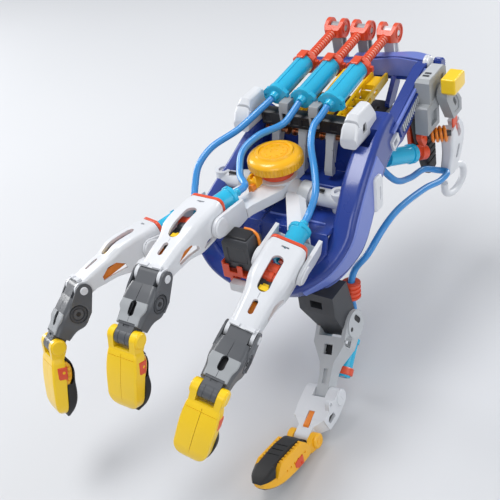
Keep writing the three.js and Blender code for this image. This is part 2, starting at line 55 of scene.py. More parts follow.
# ------------------------------------------------------------------ vectors
def un(a):
    a = np.array(a, float)
    return a / np.linalg.norm(a)

def rod(v, k, deg):
    t = math.radians(deg)
    return v * math.cos(t) + np.cross(k, v) * math.sin(t) + k * (k @ v) * (1 - math.cos(t))

def finger_frames(B, h, p1, p2, p3):
    h = un(h)
    d0 = un(np.cross(h, [0, 0, 1.0]))
    if d0[1] > 0:
        d0 = -d0
    d = [rod(d0, h, p) for p in (p1, p2, p3)]
    x = -h
    up = [np.cross(x, q) for q in d]
    B = np.array(B, float)
    A = B - 62.4 * d[0]; C = B + 42 * d[1]; E = C + 48 * d[2]
    P = [A + 10 * d[0] - 13 * up[0], B - 2.7 * up[0] - 2.7 * up[1], C - 2.8 * up[1] - 2.8 * up[2], E - 3 * up[2]]
    y = [un(P[i + 1] - P[i]) for i in range(3)]
    L = [float(np.linalg.norm(P[i + 1] - P[i])) for i in range(3)]
    return P, x, y, L

# ------------------------------------------------------------------ solids
class S:
    def __init__(self, v, f):
        self.v = np.array(v, float).reshape(-1, 3); self.f = [list(q) for q in f]
    def t(self, x=0, y=0, z=0):
        return S(self.v + [x, y, z], self.f)
    def mir(self, ax):
        v = self.v.copy(); v[:, ax] *= -1
        return S(v, [q[::-1] for q in self.f])
    def rot(self, ax, deg, c=(0, 0, 0)):
        c = np.array(c, float)
        m = np.array(Matrix.Rotation(math.radians(deg), 3, ax))
        return S((self.v - c) @ m.T + c, self.f)
    def at(self, o, y, x):
        z = np.cross(x, y)
        return S(np.outer(self.v[:, 0], x) + np.outer(self.v[:, 1], y) + np.outer(self.v[:, 2], z) + np.array(o, float), self.f)

def box(x0, x1, y0, y1, z0, z1):
    v = [(x, y, z) for z in (z0, z1) for y in (y0, y1) for x in (x0, x1)]
    return S(v, [(0, 2, 3, 1), (4, 5, 7, 6), (0, 1, 5, 4), (1, 3, 7, 5), (3, 2, 6, 7), (2, 0, 4, 6)])

def boxs(w, y0, y1, z0, z1):
    return box(-w, w, y0, y1, z0, z1)

def loft(rings):
    n = len(rings[0]); v = np.vstack(rings); f = []
    for i in range(len(rings) - 1):
        for j in range(n):
            a, b = i * n + j, i * n + (j + 1) % n
            f.append((a, b, b + n, a + n))
    f.append(tuple(range(n))[::-1]); f.append(tuple((len(rings) - 1) * n + j for j in range(n)))
    s = S(v, f)
    # outward check by signed volume
    vol = 0.0
    for q in s.f:
        for k in range(1, len(q) - 1):
            vol += np.dot(s.v[q[0]], np.cross(s.v[q[k]], s.v[q[k + 1]]))
    if vol < 0:
        s.f = [q[::-1] for q in s.f]
    return s

def lathe(prof, n=48):
    """prof: list of (r, y) along +Y, closed to the axis at both ends."""
    rings = []
    for r, y in prof:
        rings.append(np.array([(max(r, 1e-3) * math.cos(2 * math.pi * j / n), y, max(r, 1e-3) * math.sin(2 * math.pi * j / n)) for j in range(n)]))
    return loft(rings)

def cylY(r, y0, y1, x=0, z=0, n=40, r2=None):
    return lathe([(r, y0), (r if r2 is None else r2, y1)], n).t(x, 0, z)

def cylX(r, x0, x1, y=0, z=0, n=40):
    s = cylY(r, x0, x1, n=n)
    return S(np.c_[s.v[:, 1], s.v[:, 0] + y, s.v[:, 2] + z], [q[::-1] for q in s.f])

def cylZ(r, z0, z1, x=0, y=0, n=40, r2=None):
    s = cylY(r, z0, z1, n=n, r2=r2)
    return S(np.c_[s.v[:, 0] + x, s.v[:, 2] + y, s.v[:, 1]], [q[::-1] for q in s.f])

def sph(r, p, n=20):
    return lathe([(r * math.sin(math.pi * i / n), -r * math.cos(math.pi * i / n)) for i in range(n + 1)], 2 * n).t(*p)

def hull(*ss):
    bm = bmesh.new()
    for v in np.unique(np.round(np.vstack([s.v for s in ss]), 4), axis=0):
        bm.verts.new(v)
    r = bmesh.ops.convex_hull(bm, input=list(bm.verts))
    dead = {e for k in ("geom_interior", "geom_unused") for e in r[k] if isinstance(e, bmesh.types.BMVert)}
    bmesh.ops.delete(bm, geom=list(dead), context="VERTS")
    bmesh.ops.dissolve_limit(bm, angle_limit=math.radians(0.6), verts=list(bm.verts), edges=list(bm.edges))
    bmesh.ops.recalc_face_normals(bm, faces=list(bm.faces))
    bm.verts.index_update()
    s = S([v.co[:] for v in bm.verts], [[v.index for v in f.verts] for f in bm.faces])
    bm.free()
    return s

def to_mesh(s, name="m", k=1.0):
    me = bpy.data.meshes.new(name)
    me.from_pydata((s.v * k).tolist(), [], [list(map(int, q)) for q in s.f])
    me.validate(); me.update()
    return me

def csg(base, *ops):
    """ops: ('+', S) or ('-', S), applied in order."""
    o = bpy.data.objects.new("tmp", to_mesh(base)); bpy.context.scene.collection.objects.link(o)
    tmp = [o]
    for k, s in ops:
        q = bpy.data.objects.new("tmp", to_mesh(s)); bpy.context.scene.collection.objects.link(q); tmp.append(q)
        m = o.modifiers.new("b", "BOOLEAN"); m.object = q; m.operation = "UNION" if k == "+" else "DIFFERENCE"; m.solver = "MANIFOLD"
    dg = bpy.context.evaluated_depsgraph_get()
    me = bpy.data.meshes.new_from_object(o.evaluated_get(dg))
    s = S([v.co[:] for v in me.vertices], [list(p.vertices) for p in me.polygons])
    for q in tmp:
        d = q.data; bpy.data.objects.remove(q); bpy.data.meshes.remove(d)
    bpy.data.meshes.remove(me)
    return s

def U(*ss):
    return csg(ss[0], *[("+", s) for s in ss[1:]])

def rrect(y, w, zt, zb, r=3.0, rb=None, n=5):
    """rounded rectangle ring in the x-z plane at y"""
    rb = r if rb is None else rb
    r = min(r, w - 0.05, (zt - zb) / 2 - 0.05); rb = min(rb, w - 0.05, (zt - zb) / 2 - 0.05)
    out = []
    for cx, cz, rr, a0 in ((w, zt, r, 0), (-w, zt, r, 90), (-w, zb, rb, 180), (w, zb, rb, 270)):
        sx = 1 if cx > 0 else -1; sz = 1 if cz == zt else -1
        for i in range(n + 1):
            a = math.radians(a0 + 90 * i / n)
            out.append((cx - sx * rr + rr * math.cos(a), y, cz - sz * rr + rr * math.sin(a)))
    return np.array(out)

def smooth_tab(ys, cols, n):
    """smooth interpolation of several columns over ys"""
    ys = np.array(ys, float); yy = np.linspace(ys[0], ys[-1], n); out = []
    for c in cols:
        c = np.array(c, float); m = np.gradient(c, ys); o = []
        for q in yy:
            i = min(max(np.searchsorted(ys, q) - 1, 0), len(ys) - 2); h = ys[i + 1] - ys[i]; t = (q - ys[i]) / h
            o.append((2 * t**3 - 3 * t**2 + 1) * c[i] + (t**3 - 2 * t**2 + t) * h * m[i] + (-2 * t**3 + 3 * t**2) * c[i + 1] + (t**3 - t**2) * h * m[i + 1])
        out.append(o)
    return yy, out

def catmull(P, step):
    """centripetal Catmull-Rom through P, resampled evenly"""
    P = [np.array(p, float) for p in P]
    Q = [2 * P[0] - P[1]] + P + [2 * P[-1] - P[-2]]; out = []
    for i in range(1, len(Q) - 2):
        p0, p1, p2, p3 = Q[i - 1:i + 3]; t = [0.0]
        for a, b in ((p0, p1), (p1, p2), (p2, p3)):
            t.append(t[-1] + max(np.linalg.norm(b - a), 1e-6) ** 0.5)
        for u in np.linspace(t[1], t[2], 24, endpoint=False):
            A1 = (t[1] - u) / (t[1] - t[0]) * p0 + (u - t[0]) / (t[1] - t[0]) * p1
            A2 = (t[2] - u) / (t[2] - t[1]) * p1 + (u - t[1]) / (t[2] - t[1]) * p2
            A3 = (t[3] - u) / (t[3] - t[2]) * p2 + (u - t[2]) / (t[3] - t[2]) * p3
            B1 = (t[2] - u) / (t[2] - t[0]) * A1 + (u - t[0]) / (t[2] - t[0]) * A2
            B2 = (t[3] - u) / (t[3] - t[1]) * A2 + (u - t[1]) / (t[3] - t[1]) * A3
            out.append((t[2] - u) / (t[2] - t[1]) * B1 + (u - t[1]) / (t[2] - t[1]) * B2)
    out.append(P[-1]); out = np.array(out)
    s = np.r_[0, np.cumsum(np.linalg.norm(np.diff(out, axis=0), axis=1))]
    n = max(3, int(round(s[-1] / step)))
    ss = np.linspace(0, s[-1], n + 1)
    return np.c_[[np.interp(ss, s, out[:, k]) for k in range(3)]].T

def tube(P, r, n=12, step=2.0, closed=False):
    c = catmull(P, step) if step else np.array(P, float)
    T = np.gradient(c, axis=0); T /= np.linalg.norm(T, axis=1)[:, None]
    N = np.cross(T[0], [0, 0, 1.0]); N = un(N if np.linalg.norm(N) > 0.1 else np.cross(T[0], [1.0, 0, 0])); rings = []
    for i in range(len(c)):
        N = un(N - T[i] * (N @ T[i])); Bn = np.cross(T[i], N)
        rr = r[min(i, len(r) - 1)] if hasattr(r, "__len__") else r
        rings.append(np.array([c[i] + N * math.cos(2 * math.pi * j / n) * rr + Bn * math.sin(2 * math.pi * j / n) * rr for j in range(n)]))
    return loft(rings)

def rod_to(a, b, r, r2=None, n=32):
    a = np.array(a, float); b = np.array(b, float); y = un(b - a)
    x = un(np.cross(y, [1, 0, 0] if abs(y[2]) > 0.9 else [0, 0, 1]))
    return cylY(r, 0, float(np.linalg.norm(b - a)), n=n, r2=r2).at(a, y, x)

# ------------------------------------------------------------------ materials
def nodes_of(name):
    m = bpy.data.materials.new(name); m.use_nodes = True
    nt = m.node_tree; bs = nt.nodes["Principled BSDF"]
    return m, nt, bs

def plastic(name, col, rough=0.35, bump=0.05, scale=260.0, var=0.05, spec=0.5, coat=0.0, sss=0.0):
    m, nt, bs = nodes_of(name)
    tc = nt.nodes.new("ShaderNodeTexCoord")
    n1 = nt.nodes.new("ShaderNodeTexNoise"); n1.inputs["Scale"].default_value = 28.0; n1.inputs["Detail"].default_value = 4.0
    n2 = nt.nodes.new("ShaderNodeTexNoise"); n2.inputs["Scale"].default_value = scale * 8; n2.inputs["Detail"].default_value = 2.0
    nt.links.new(tc.outputs["Object"], n1.inputs["Vector"]); nt.links.new(tc.outputs["Object"], n2.inputs["Vector"])
    cr = nt.nodes.new("ShaderNodeValToRGB")
    a = [max(0, c * (1 - var)) for c in col]; b = [min(1, c * (1 + var)) for c in col]
    cr.color_ramp.elements[0].color = (*a, 1); cr.color_ramp.elements[1].color = (*b, 1)
    cr.color_ramp.elements[0].position = 0.3; cr.color_ramp.elements[1].position = 0.7
    nt.links.new(n1.outputs["Fac"], cr.inputs["Fac"]); nt.links.new(cr.outputs["Color"], bs.inputs["Base Color"])
    mr = nt.nodes.new("ShaderNodeMapRange"); mr.inputs["To Min"].default_value = rough * 0.85; mr.inputs["To Max"].default_value = rough * 1.2
    nt.links.new(n1.outputs["Fac"], mr.inputs["Value"]); nt.links.new(mr.outputs["Result"], bs.inputs["Roughness"])
    bp = nt.nodes.new("ShaderNodeBump"); bp.inputs["Strength"].default_value = bump; bp.inputs["Distance"].default_value = 0.0001
    nt.links.new(n2.outputs["Fac"], bp.inputs["Height"]); nt.links.new(bp.outputs["Normal"], bs.inputs["Normal"])
    bs.inputs["Specular IOR Level"].default_value = spec
    bs.inputs["Coat Weight"].default_value = coat; bs.inputs["Coat Roughness"].default_value = 0.12
    return m

MAT = {
    "white": plastic("white_moulded", (0.70, 0.715, 0.745), 0.30, coat=0.25),
    "char": plastic("charcoal_moulded", (0.085, 0.09, 0.10), 0.38, coat=0.15),
    "pale": plastic("pale_red_core", (0.80, 0.36, 0.27), 0.35),
    "lgrey": plastic("light_grey_moulded", (0.50, 0.52, 0.54), 0.38),
    "grey": plastic("grey_moulded", (0.20, 0.21, 0.225), 0.36, coat=0.15),
    "mgrey": plastic("mid_grey_moulded", (0.33, 0.345, 0.36), 0.38),
    "dark": plastic("dark_grey_moulded", (0.045, 0.048, 0.055), 0.42),
    "black": plastic("black_moulded", (0.012, 0.012, 0.014), 0.38, var=0.2),
    "rubber": plastic("black_soft_rubber", (0.014, 0.014, 0.015), 0.55, bump=0.2, var=0.25),
    "yellow": plastic("yellow_moulded", (0.92, 0.46, 0.006), 0.28, coat=0.3),
    "lemon": plastic("lemon_moulded", (0.95, 0.62, 0.01), 0.30, coat=0.25),
    "red": plastic("red_orange_moulded", (0.72, 0.075, 0.022), 0.33, coat=0.2),
    "orange": plastic("orange_coated_steel", (0.80, 0.22, 0.012), 0.3, coat=0.2),
    "copper": plastic("copper_pin", (0.55, 0.22, 0.10), 0.3),
    "navy": plastic("navy_moulded", (0.016, 0.045, 0.27), 0.27, coat=0.35),
    # lighter copy of the navy plastic: painted highlight and reflection for the lit faces, ridges and edges of the blue
    # frame
    "lav": plastic("navy_painted_highlight", (0.145, 0.205, 0.58), 0.30, coat=0.3),
    "hose": plastic("blue_tubing", (0.045, 0.30, 0.72), 0.25, bump=0.03, coat=0.3),
    "steel": plastic("zinc_screw", (0.55, 0.55, 0.56), 0.3),
}
MAT["copper"].node_tree.nodes["Principled BSDF"].inputs["Metallic"].default_value = 1.0
MAT["steel"].node_tree.nodes["Principled BSDF"].inputs["Metallic"].default_value = 1.0
MAT["cyan"] = plastic("cyan_translucent", (0.035, 0.56, 0.86), 0.10, bump=0.02, coat=0.4)
bs = MAT["cyan"].node_tree.nodes["Principled BSDF"]
bs.inputs["Transmission Weight"].default_value = 0.22; bs.inputs["IOR"].default_value = 1.35
bs = MAT["hose"].node_tree.nodes["Principled BSDF"]
bs.inputs["Transmission Weight"].default_value = 0.12

def put(name, s, mat, body, reps=(), bevel=0.4, segs=2, ang=30, sm=35):
    me = to_mesh(S(s.v - ORG, s.f), name, 0.001)
    bm = bmesh.new(); bm.from_mesh(me)
    bmesh.ops.remove_doubles(bm, verts=list(bm.verts), dist=1e-6)
    bmesh.ops.dissolve_limit(bm, angle_limit=math.radians(0.8), verts=list(bm.verts), edges=list(bm.edges), delimit=set())
    bmesh.ops.recalc_face_normals(bm, faces=list(bm.faces))
    for f in bm.faces:
        f.smooth = True
    for e in bm.edges:
        e.smooth = not (len(e.link_faces) == 2 and e.calc_face_angle(0) > math.radians(sm))
    bm.to_mesh(me); bm.free()
    o = bpy.data.objects.new(name, me); bpy.context.scene.collection.objects.link(o)
    me.materials.append(MAT[mat])
    if bevel:
        b = o.modifiers.new("edge", "BEVEL"); b.width = bevel / 1000; b.segments = segs; b.limit_method = "ANGLE"; b.angle_limit = math.radians(ang)
        b.use_clamp_overlap = True; b.miter_outer = "MITER_ARC"; b.harden_normals = False
        w = o.modifiers.new("wn", "WEIGHTED_NORMAL"); w.keep_sharp = False; w.weight = 60
        for e in me.edges:
            e.use_edge_sharp = False
    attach(o, body)
    if reps:
        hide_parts(*reps)
    return o

# ------------------------------------------------------------------ fingers
W, TW = 13.4, 11.2
FN = [finger_frames([-80.4, -124, -31], [0.87, -0.39, 0.28], 15.5, 43, 75),
      finger_frames([-14.3, -119.5, -5.9], [1, 0, 0], 12.2, 32.9, 72.3),
      finger_frames([40.7, -113.3, -39.3], [0.95, 0.10, -0.30], 22.5, 20.9, 68.2)]
rear_ends = []

def slot_cut(x, y0, y1, r, z0, z1, n=20):
    return hull(cylZ(r, z0, z1, x, y0, n), cylZ(r, z0, z1, x, y1, n))

def prox_shell(L, d=0.0, y0=-10.0, y1=None):
    ys = [-10, -6, 2, 11, 20, L - 26, L - 14, L - 6, L - 1]
    w = [12.3, 13.3, 13.4, 13.3, 12.7, 11.0, 10.0, 9.7, 9.5]
    zt = [12.4, 12.7, 13.1, 13.5, 12.9, 10.8, 8.7, 7.0, 6.0]
    zb = [-7.0, -7.0, -7.0, -7.0, -6.6, -5.4, -4.6, -4.0, -3.6]
    yy, (w, zt, zb) = smooth_tab(ys, (w, zt, zb), 26)
    rings = [rrect(y, a - d, b - d, (c + d) if not d else -16, 4.6 - d * 0.8, 0.8, 6) for y, a, b, c in zip(yy, w, zt, zb)]
    if d:
        rings[0][:, 1] -= 4; rings[-1][:, 1] += 3
    return loft(rings)

for i, (P, x, y, L) in enumerate(FN):
    n = i + 1; lp, lm, lt = L
    bp_, bm_, bt_ = f"proximal_body{n}", f"middle_body{n}", f"tip_body{n}"
    at = lambda s, k: s.at(P[k], y[k], x)
    # ---- proximal shell
    s = csg(prox_shell(lp), ("-", prox_shell(lp, 2.0)), ("-", boxs(8.4, -16, 1, 0, 10.9)))
    ops = [("-", slot_cut(0, 5.5, 24, 3.9, 4, 30)),
           ("-", hull(boxs(30, lp - 32, lp - 15, -2.2, 0.6), boxs(30, lp - 27, lp - 21, -2.2, 4.2))),
           ("-", hull(boxs(30, -4, -2, -5, -4.4), boxs(30, 8, 16, -5, -4.4), boxs(30, 4, 12, -5, -2))),
           ("-", slot_cut(0, lp - 18, lp - 11.5, 1.75, 0, 30)),
           ("-", slot_cut(0, 0, 0.01, 0.9, 9, 30).t(0, -5.5, 0)), ("-", boxs(2.6, -6.4, -5.2, 10.5, 30)),
           ("-", box(-0.16, 0.16, 28.5, lp - 20.5, 9.2, 30))]
    s = csg(s, *ops)
    ears = csg(hull(boxs(9.5, lp - 9, lp - 5, -4, 3), cylX(5.4, -9.5, 9.5, lp, 0)), ("-", boxs(7.2, lp - 30, lp + 9, -9, 9)))
    boss = csg(hull(boxs(W, -7, 7, -6.6, 3), cylX(6.2, -W, W, 0, 0)), ("-", boxs(W - 2.2, -20, 20, -20, 20)))
    s = csg(s, ("+", ears), ("+", boss), ("-", cylX(6.7, -7.2, 7.2, lp, 0)), ("-", cylX(2.6, -12, 12, lp, 0)))
    s = csg(s, ("+", csg(boxs(8.0, lp + 0.6, lp + 3.4, 5.6, 7.2).t(0, -3.4, 0), ("-", boxs(2.0, lp - 4, lp + 4, 6.2, 8)))),
            ("+", cylX(3, W - 0.6, W + 2.9)), ("+", cylX(3, -W - 2.9, -W + 0.6)))
    put(f"finger{n}_proximal_shell", at(s, 0), "white", bp_, (f"finger{n}_proximal",), 0.55, 3, 26)
    put(f"finger{n}_link_drum", at(csg(cylX(4.6, -7.5, 7.5, 8, 3.6), ("+", boxs(2.4, 8, 22, 1.2, 4.2)), ("+", cylX(5.2, -2.2, 2.2, 8, 3.6))), 0), "red", bp_, (), 0.3)
    put(f"finger{n}_link_block", at(hull(boxs(6.4, 15, 19, -2, 6.6), boxs(5, 28, 32, -2, 5.2)), 0), "dark", bp_, (), 0.5)
    put(f"finger{n}_slot_link", at(hull(cylX(2.2, -2.4, 2.4, lp - 19, 2.6), cylX(2.2, -2.4, 2.4, lp - 10, 1.8)), 0), "orange", bp_, (), 0.3)
    put(f"finger{n}_window_roller", at(U(cylX(3.3, -4.6, 4.6, 13.8, 5.6), cylX(3.9, -1.4, 1.4, 13.8, 5.6)), 0), "dark" if n == 2 else "red", bp_, (), 0.3)
    put(f"finger{n}_slider", at(U(boxs(3.0, 22.4, 25.8, 6.2, 8.9), boxs(2.0, 20, 24, 5.6, 7.4)), 0), "lemon", bp_, (), 0.4)
    rim = csg(loft([rrect(q, 12.4, 12.5, -6.2, 4.4, 1.0, 6) for q in (-12.6, -10.3)]), ("-", loft([rrect(q, 9.8, 11.2, -9.6, 4.0, 1.0, 6) for q in (-14, -9)])))
    put(f"finger{n}_rear_collar", at(rim, 0), "red", bp_, (), 0.35)
    for sx, t in ((1, "r"), (-1, "l")):
        c = U(hull(cylX(6.5, W + 2.9, W + 3.5), cylX(5.7, W + 3.5, W + 4.0)), cylX(3, W + 1, W + 3))
        put(f"finger{n}_root_pin_cap_{t}", at(c if sx > 0 else c.mir(0), 0), "white", bp_, (), 0.3)
    for sx, t in ((-1, "l"), (1, "r")):
        c = hull(cylX(2.3, 5.6, 7.2, lp - 14, -1.0), cylX(2.6, 5.6, 7.2, lp - 31, 0.8))
        put(f"finger{n}_orange_link_{t}", at(c if sx > 0 else c.mir(0), 0), "orange", bp_, (), 0.3)
    # ---- middle
    ys = [7.2, 11, 16, 21, lm - 14, lm - 6.2]
    yy, (w, zt, zb) = smooth_tab(ys, ([10.2, 10.7, 11.1, 11.0, 9.9, 9.3], [5.2, 5.6, 5.8, 5.8, 5.4, 4.9], [-6.5, -10.2, -11.6, -11.2, -8.4, -6.2]), 18)
    s = loft([rrect(q, a, b, c, 3.4, 2.2, 5) for q, a, b, c in zip(yy, w, zt, zb)])
    s = csg(s, ("-", loft([rrect(q, a - 3.6, b - 2.4, -20, 2.4, 0.5, 5) for q, a, b in list(zip(yy, w, zt))[4:-4]])),
            ("+", hull(cylX(5.2, -6.9, 6.9), boxs(6.9, 7.4, 9, -6, 5))),
            ("+", hull(boxs(5.7, lm - 8, lm - 6, -4.5, 4.4), cylX(4.9, -5.7, 5.7, lm))),
            ("-", slot_cut(0, 20.5, 25.8, 2.2, 0, 30)), ("-", cylX(2.5, -12, 12, lm)),
            ("-", box(-0.16, 0.16, 8, lm - 7, 5.2, 30)), ("-", boxs(2.3, lm - 6.2, lm - 4.6, 3.9, 8)))
    for sx in (-1, 1):
        s = csg(s, ("-", cylX(6.0, sx * 12.6 - 2.4, sx * 12.6 + 2.4, 15, -3)), ("+", cylX(3.4, sx * 10.0 - 1.0, sx * 10.0 + 1.0, 15, -3)))
    put(f"finger{n}_middle_shell", at(s, 1), "char", bm_, (f"finger{n}_middle",), 0.45, 2, 28)
    pl = loft([rrect(q, a - 1.5, b + 0.35, b - 1.2, 0.7, 0.5, 5) for q, a, b in zip(*(lambda e: (e[0], e[1][0], e[1][1]))(smooth_tab([18.5, 24, lm - 14, lm - 6.6], ([10.9, 10.8, 9.9, 9.2], [5.8, 5.7, 5.4, 5.0]), 10)))])
    pl = csg(pl, ("-", slot_cut(0, 20.5, 25.8, 2.2, 0, 30)), ("-", box(-0.14, 0.14, 8, lm - 7, 5.0, 30)), ("-", boxs(6.2, lm - 7.6, lm, 0, 12)))
    put(f"finger{n}_middle_plate", at(pl, 1), "mgrey", bm_, (), 0.25, 2)
    for sx, t in ((1, "r"), (-1, "l")):
        ck = csg(hull(cylX(5.4, 9.95, 11.2, 0.6, -0.4, 44), box(9.95, 11.4, 5, 10, -7.4, 4.2), box(9.95, 11.6, 11, 18, -10.6, 2.4)), ("-", cylX(6.2, 9, 14, 15, -3, 44)))
        put(f"finger{n}_middle_cheek_{t}", at(ck if sx > 0 else ck.mir(0), 1), "char", bm_, (), 0.35, 2)
        cp = csg(hull(cylX(2.6, 11.2, 11.7, 0, 0, 32), cylX(2.1, 11.7, 12.1, 0, 0, 32)), ("-", box(11.8, 13, -0.3, 0.3, -2, 2)))
        put(f"finger{n}_pip_cap_{t}", at(cp if sx > 0 else cp.mir(0), 1), "white", bm_, (), 0.15)
    put(f"finger{n}_disc_r", at(csg(cylX(5.6, 10.1, 11.3, 15, -3), ("-", cylX(3.9, 9, 12, 15, -3))), 1), "dark", bm_, (), 0.25)
    put(f"finger{n}_disc_l", at(csg(cylX(5.6, -11.3, -10.1, 15, -3), ("-", cylX(3.9, -12, -9, 15, -3))), 1), "dark", bm_, (), 0.25)
    put(f"finger{n}_disc_pin_r", at(cylX(1.5, 10.4, 11.4, 15, -3), 1), "black", bm_, (), 0.2)
    put(f"finger{n}_disc_pin_l", at(cylX(1.5, -11.4, -10.4, 15, -3), 1), "black", bm_, (), 0.2)
    put(f"finger{n}_slot_core", at(boxs(3.0, 17.5, 28.6, -1, 2.0), 1), "black", bm_, (), 0.3)
    put(f"finger{n}_dip_roller", at(csg(cylX(5.15, -5.5, 5.5, lm, 0), ("-", cylX(2.5, -9, 9, lm, 0)), *[("-", csg(cylX(9, q - 0.25, q + 0.25, lm, 0), ("-", cylX(4.85, q - 1, q + 1, lm, 0)))) for q in (-2.6, 2.6)]), 1), "char", bm_, (), 0.3)
    # ---- tip: squared cover plate, side fins, sole
    ys = [6.6, 9, 13, lt - 12, lt - 8, lt - 4.6, lt - 2.2, lt - 0.6]
    yy, (w, zt) = smooth_tab(ys, ([10.0, 10.7, 11.2, 11.2, 11.0, 9.9, 8.0, 5.6], [4.6, 5.2, 5.6, 5.4, 5.0, 4.0, 2.8, 1.2]), 34)
    s = loft([rrect(q, a, b, -2.9, 1.5, 0.3, 5) for q, a, b in zip(yy, w, zt)])
    e = csg(hull(cylX(5.3, -10.2, 10.2), boxs(10.0, 6.6, 8, -3, 4.6)), ("-", boxs(6.0, -9, 6.3, -9, 9)), ("-", cylX(6.5, -6.0, 6.0)))
    s = csg(s, ("+", e), ("+", hull(cylX(5.0, 9.8, 10.6), cylX(4.2, 10.6, 11.4))), ("+", hull(cylX(5.0, -10.6, -9.8), cylX(4.2, -11.4, -10.6))), ("+", cylX(2.1, -10, 10)),
            ("-", box(-0.13, 0.13, 9, lt + 2, 4.3, 30)), ("-", box(-20, 20, 11.2, 11.5, 5.0, 30)))
    put(f"finger{n}_tip_shell", at(s, 2), "lemon", bt_, (f"finger{n}_tip",), 0.5, 3, 28)
    fin = loft([rrect(q, 10.1, -2.2, zz, 0.5, 2.6, 5) for q, zz in zip(*(lambda e: (e[0], e[1][0]))(smooth_tab([10, 13, 18, lt - 25, lt - 19], ([-4.4, -6.8, -7.9, -7.6, -4.6],), 16)))])
    for k in range(4):
        fin = csg(fin, ("-", box(9.4, 12, 13.2 + 3 * k, 14.0 + 3 * k, -7, -4)), ("-", box(-12, -9.4, 13.2 + 3 * k, 14.0 + 3 * k, -7, -4)))
    put(f"finger{n}_tip_fins", at(fin, 2), "yellow", bt_, (), 0.4)
    for sx, t in ((1, "r"), (-1, "l")):
        c = hull(box(10.5, 11.4, 13, 20.5, -4.0, 2.4), box(10.5, 11.8, 13.8, 19.6, -3.2, 1.8), box(10.5, 11.3, 21.5, 23.5, -2.6, 0.4))
        c = csg(c, ("-", cylX(0.95, 11.2, 13, 16.6, -1.6)))
        put(f"finger{n}_clip_{t}", at(c if sx > 0 else c.mir(0), 2), "red", bt_, (), 0.25)
    yy, (w, zb, zt) = smooth_tab([8.4, 11, 16, lt - 21, lt - 16, lt - 9, lt - 3.6, lt + 1.7], ([8.4, 9.4, 10.2, 10.5, 12.1, 11.9, 10.2, 6.2], [-5.4, -7.4, -9.3, -9.5, -9.6, -9.2, -7.4, -4.8], [-3.2] * 8), 30)
    s = loft([rrect(q, a, c, b, 0.6, 3.4, 6) for q, a, b, c in zip(yy, w, zb, zt)])
    s = csg(s, ("-", hull(boxs(10.45, 9.6, lt - 17.4, -4.3, 0), boxs(10.45, 12.6, lt - 23.4, -8.3, 0))))
    for k in range(6):
        q = 13 + k * 4.6
        if q < lt - 5:
            s = csg(s, ("-", boxs(7.5, q, q + 0.8, -20, -8.9)))
    put(f"finger{n}_pad_rubber", at(s, 2), "rubber", bt_, (f"finger{n}_pad",), 0.4, 2, 30)
    # ---- knuckle bracket
    def cheek(q):
        c = hull(cylX(7.0, W + 0.4, W + 2.9, n=48), box(W + 0.4, W + 2.9, -27, -18, -13, 2))
        return c if q > 0 else c.mir(0)
    s = csg(cheek(1), ("+", cheek(-1)), ("+", boxs(W + 2.9, -27, -20, -13, -7.2)), ("-", cylX(3.35, 10, 18)), ("-", cylX(3.35, -18, -10)),
            ("-", hull(cylX(2.0, 15.6, 20, -14, -5), cylX(1.4, 15.6, 20, -21, -8))))
    put(f"knuckle{n}_bracket", at(s, 0), "white", "palm", (f"knuckle_bracket{n}",), 0.6, 3)
    # ---- slave cylinder
    yaw = [0, -17, 0][i]
    cy = csg(lathe([(6.2, -30.0), (7.5, -29.4), (7.6, -27.0), (6.7, -26.4), (6.6, -3), (5.6, -1.6)], 48), ("-", cylY(3.9, -24, 4)),
             ("+", lathe([(2.7, -35.2), (2.9, -34.2), (2.5, -33.4), (3.0, -32.4), (2.7, -31.6), (3.4, -30.8), (4.6, -29.6)], 32)))
    cy = csg(cy, ("+", cylX(2.0, -9.2, -5.8, -15)), ("+", cylX(2.0, 5.8, 9.2, -15)), ("-", boxs(1.2, -32, -25, 6.9, 9)))
    mv = lambda q: q.t(0, 0, 1.6).rot("Z", yaw, (0, -8, 0))
    put(f"slave{n}_barrel", at(mv(cy), 0), "cyan", "palm", (f"slave_cylinder{n}",), 0.3, 2)
    put(f"slave{n}_rod", at(mv(lathe([(3.5, -10), (3.5, -7), (2.0, -6.6), (2.0, -1.0)], 32)), 0), "red", "palm", (), 0.2)
    ysn, ycs = math.sin(math.radians(yaw)), math.cos(math.radians(yaw))
    z = np.cross(x, y[0]); wf = lambda p: P[0] + x * p[0] + y[0] * p[1] + z * p[2]
    rear_ends.append((wf((27 * ysn, -8 - 27 * ycs, 1.6)), wf((33 * ysn, -8 - 33 * ycs, 2.4)), wf((0, -33, -9))))

# ------------------------------------------------------------------ thumb
T = [np.array(t, float) for t in ([47, -15.2, -112], [52.5, -55.2, -143.8], [54, -88.3, -152.4], [52.4, -142.5, -143.1])]
th = un([0.985, 0, 0.17]); tx = -th
ortho = lambda v: un(v - th * (v @ th))
ty = [ortho(T[k + 1] - T[k]) for k in range(3)]
TL = [float(np.linalg.norm(T[k + 1] - T[k])) for k in range(3)]
L0, L1, L2 = TL
ta = lambda s, k: s.at(T[k], ty[k], tx)
s = csg(hull(box(27, 54, -32, -12, -92, -76), ta(cylX(9, -8.6, 8.6, n=48), 0)), ("-", ta(cylX(2.6, -20, 20), 0)),
        ("-", box(36, 45, -40, -20, -88, -82).t(0, 0, 0)))
s = csg(s, ("+", ta(cylX(9.4, -8.8, -6.2), 0)), ("+", ta(cylX(9.4, 6.2, 8.8), 0)), ("-", ta(cylX(2.6, -20, 20), 0)))
put("thumb_base_block", s, "dark", "palm", ("thumb_base",), 0.7, 3)
ga, gb = np.array([51.5, -1.6, -84.6]), np.array([51.5, -3.1, -97.4])
gd = gb - ga
g = csg(rod_to(ga, gb, 5.6), ("-", rod_to(ga - gd, gb + gd, 3.0)))
for k in range(4):
    g = csg(g, ("+", csg(rod_to(ga + gd * (0.04 + k * 0.26), ga + gd * (0.14 + k * 0.26), 6.6), ("-", rod_to(ga - gd, gb + gd, 3.0)))))
put("thumb_hose_guide", g, "red", "palm", (), 0.3)
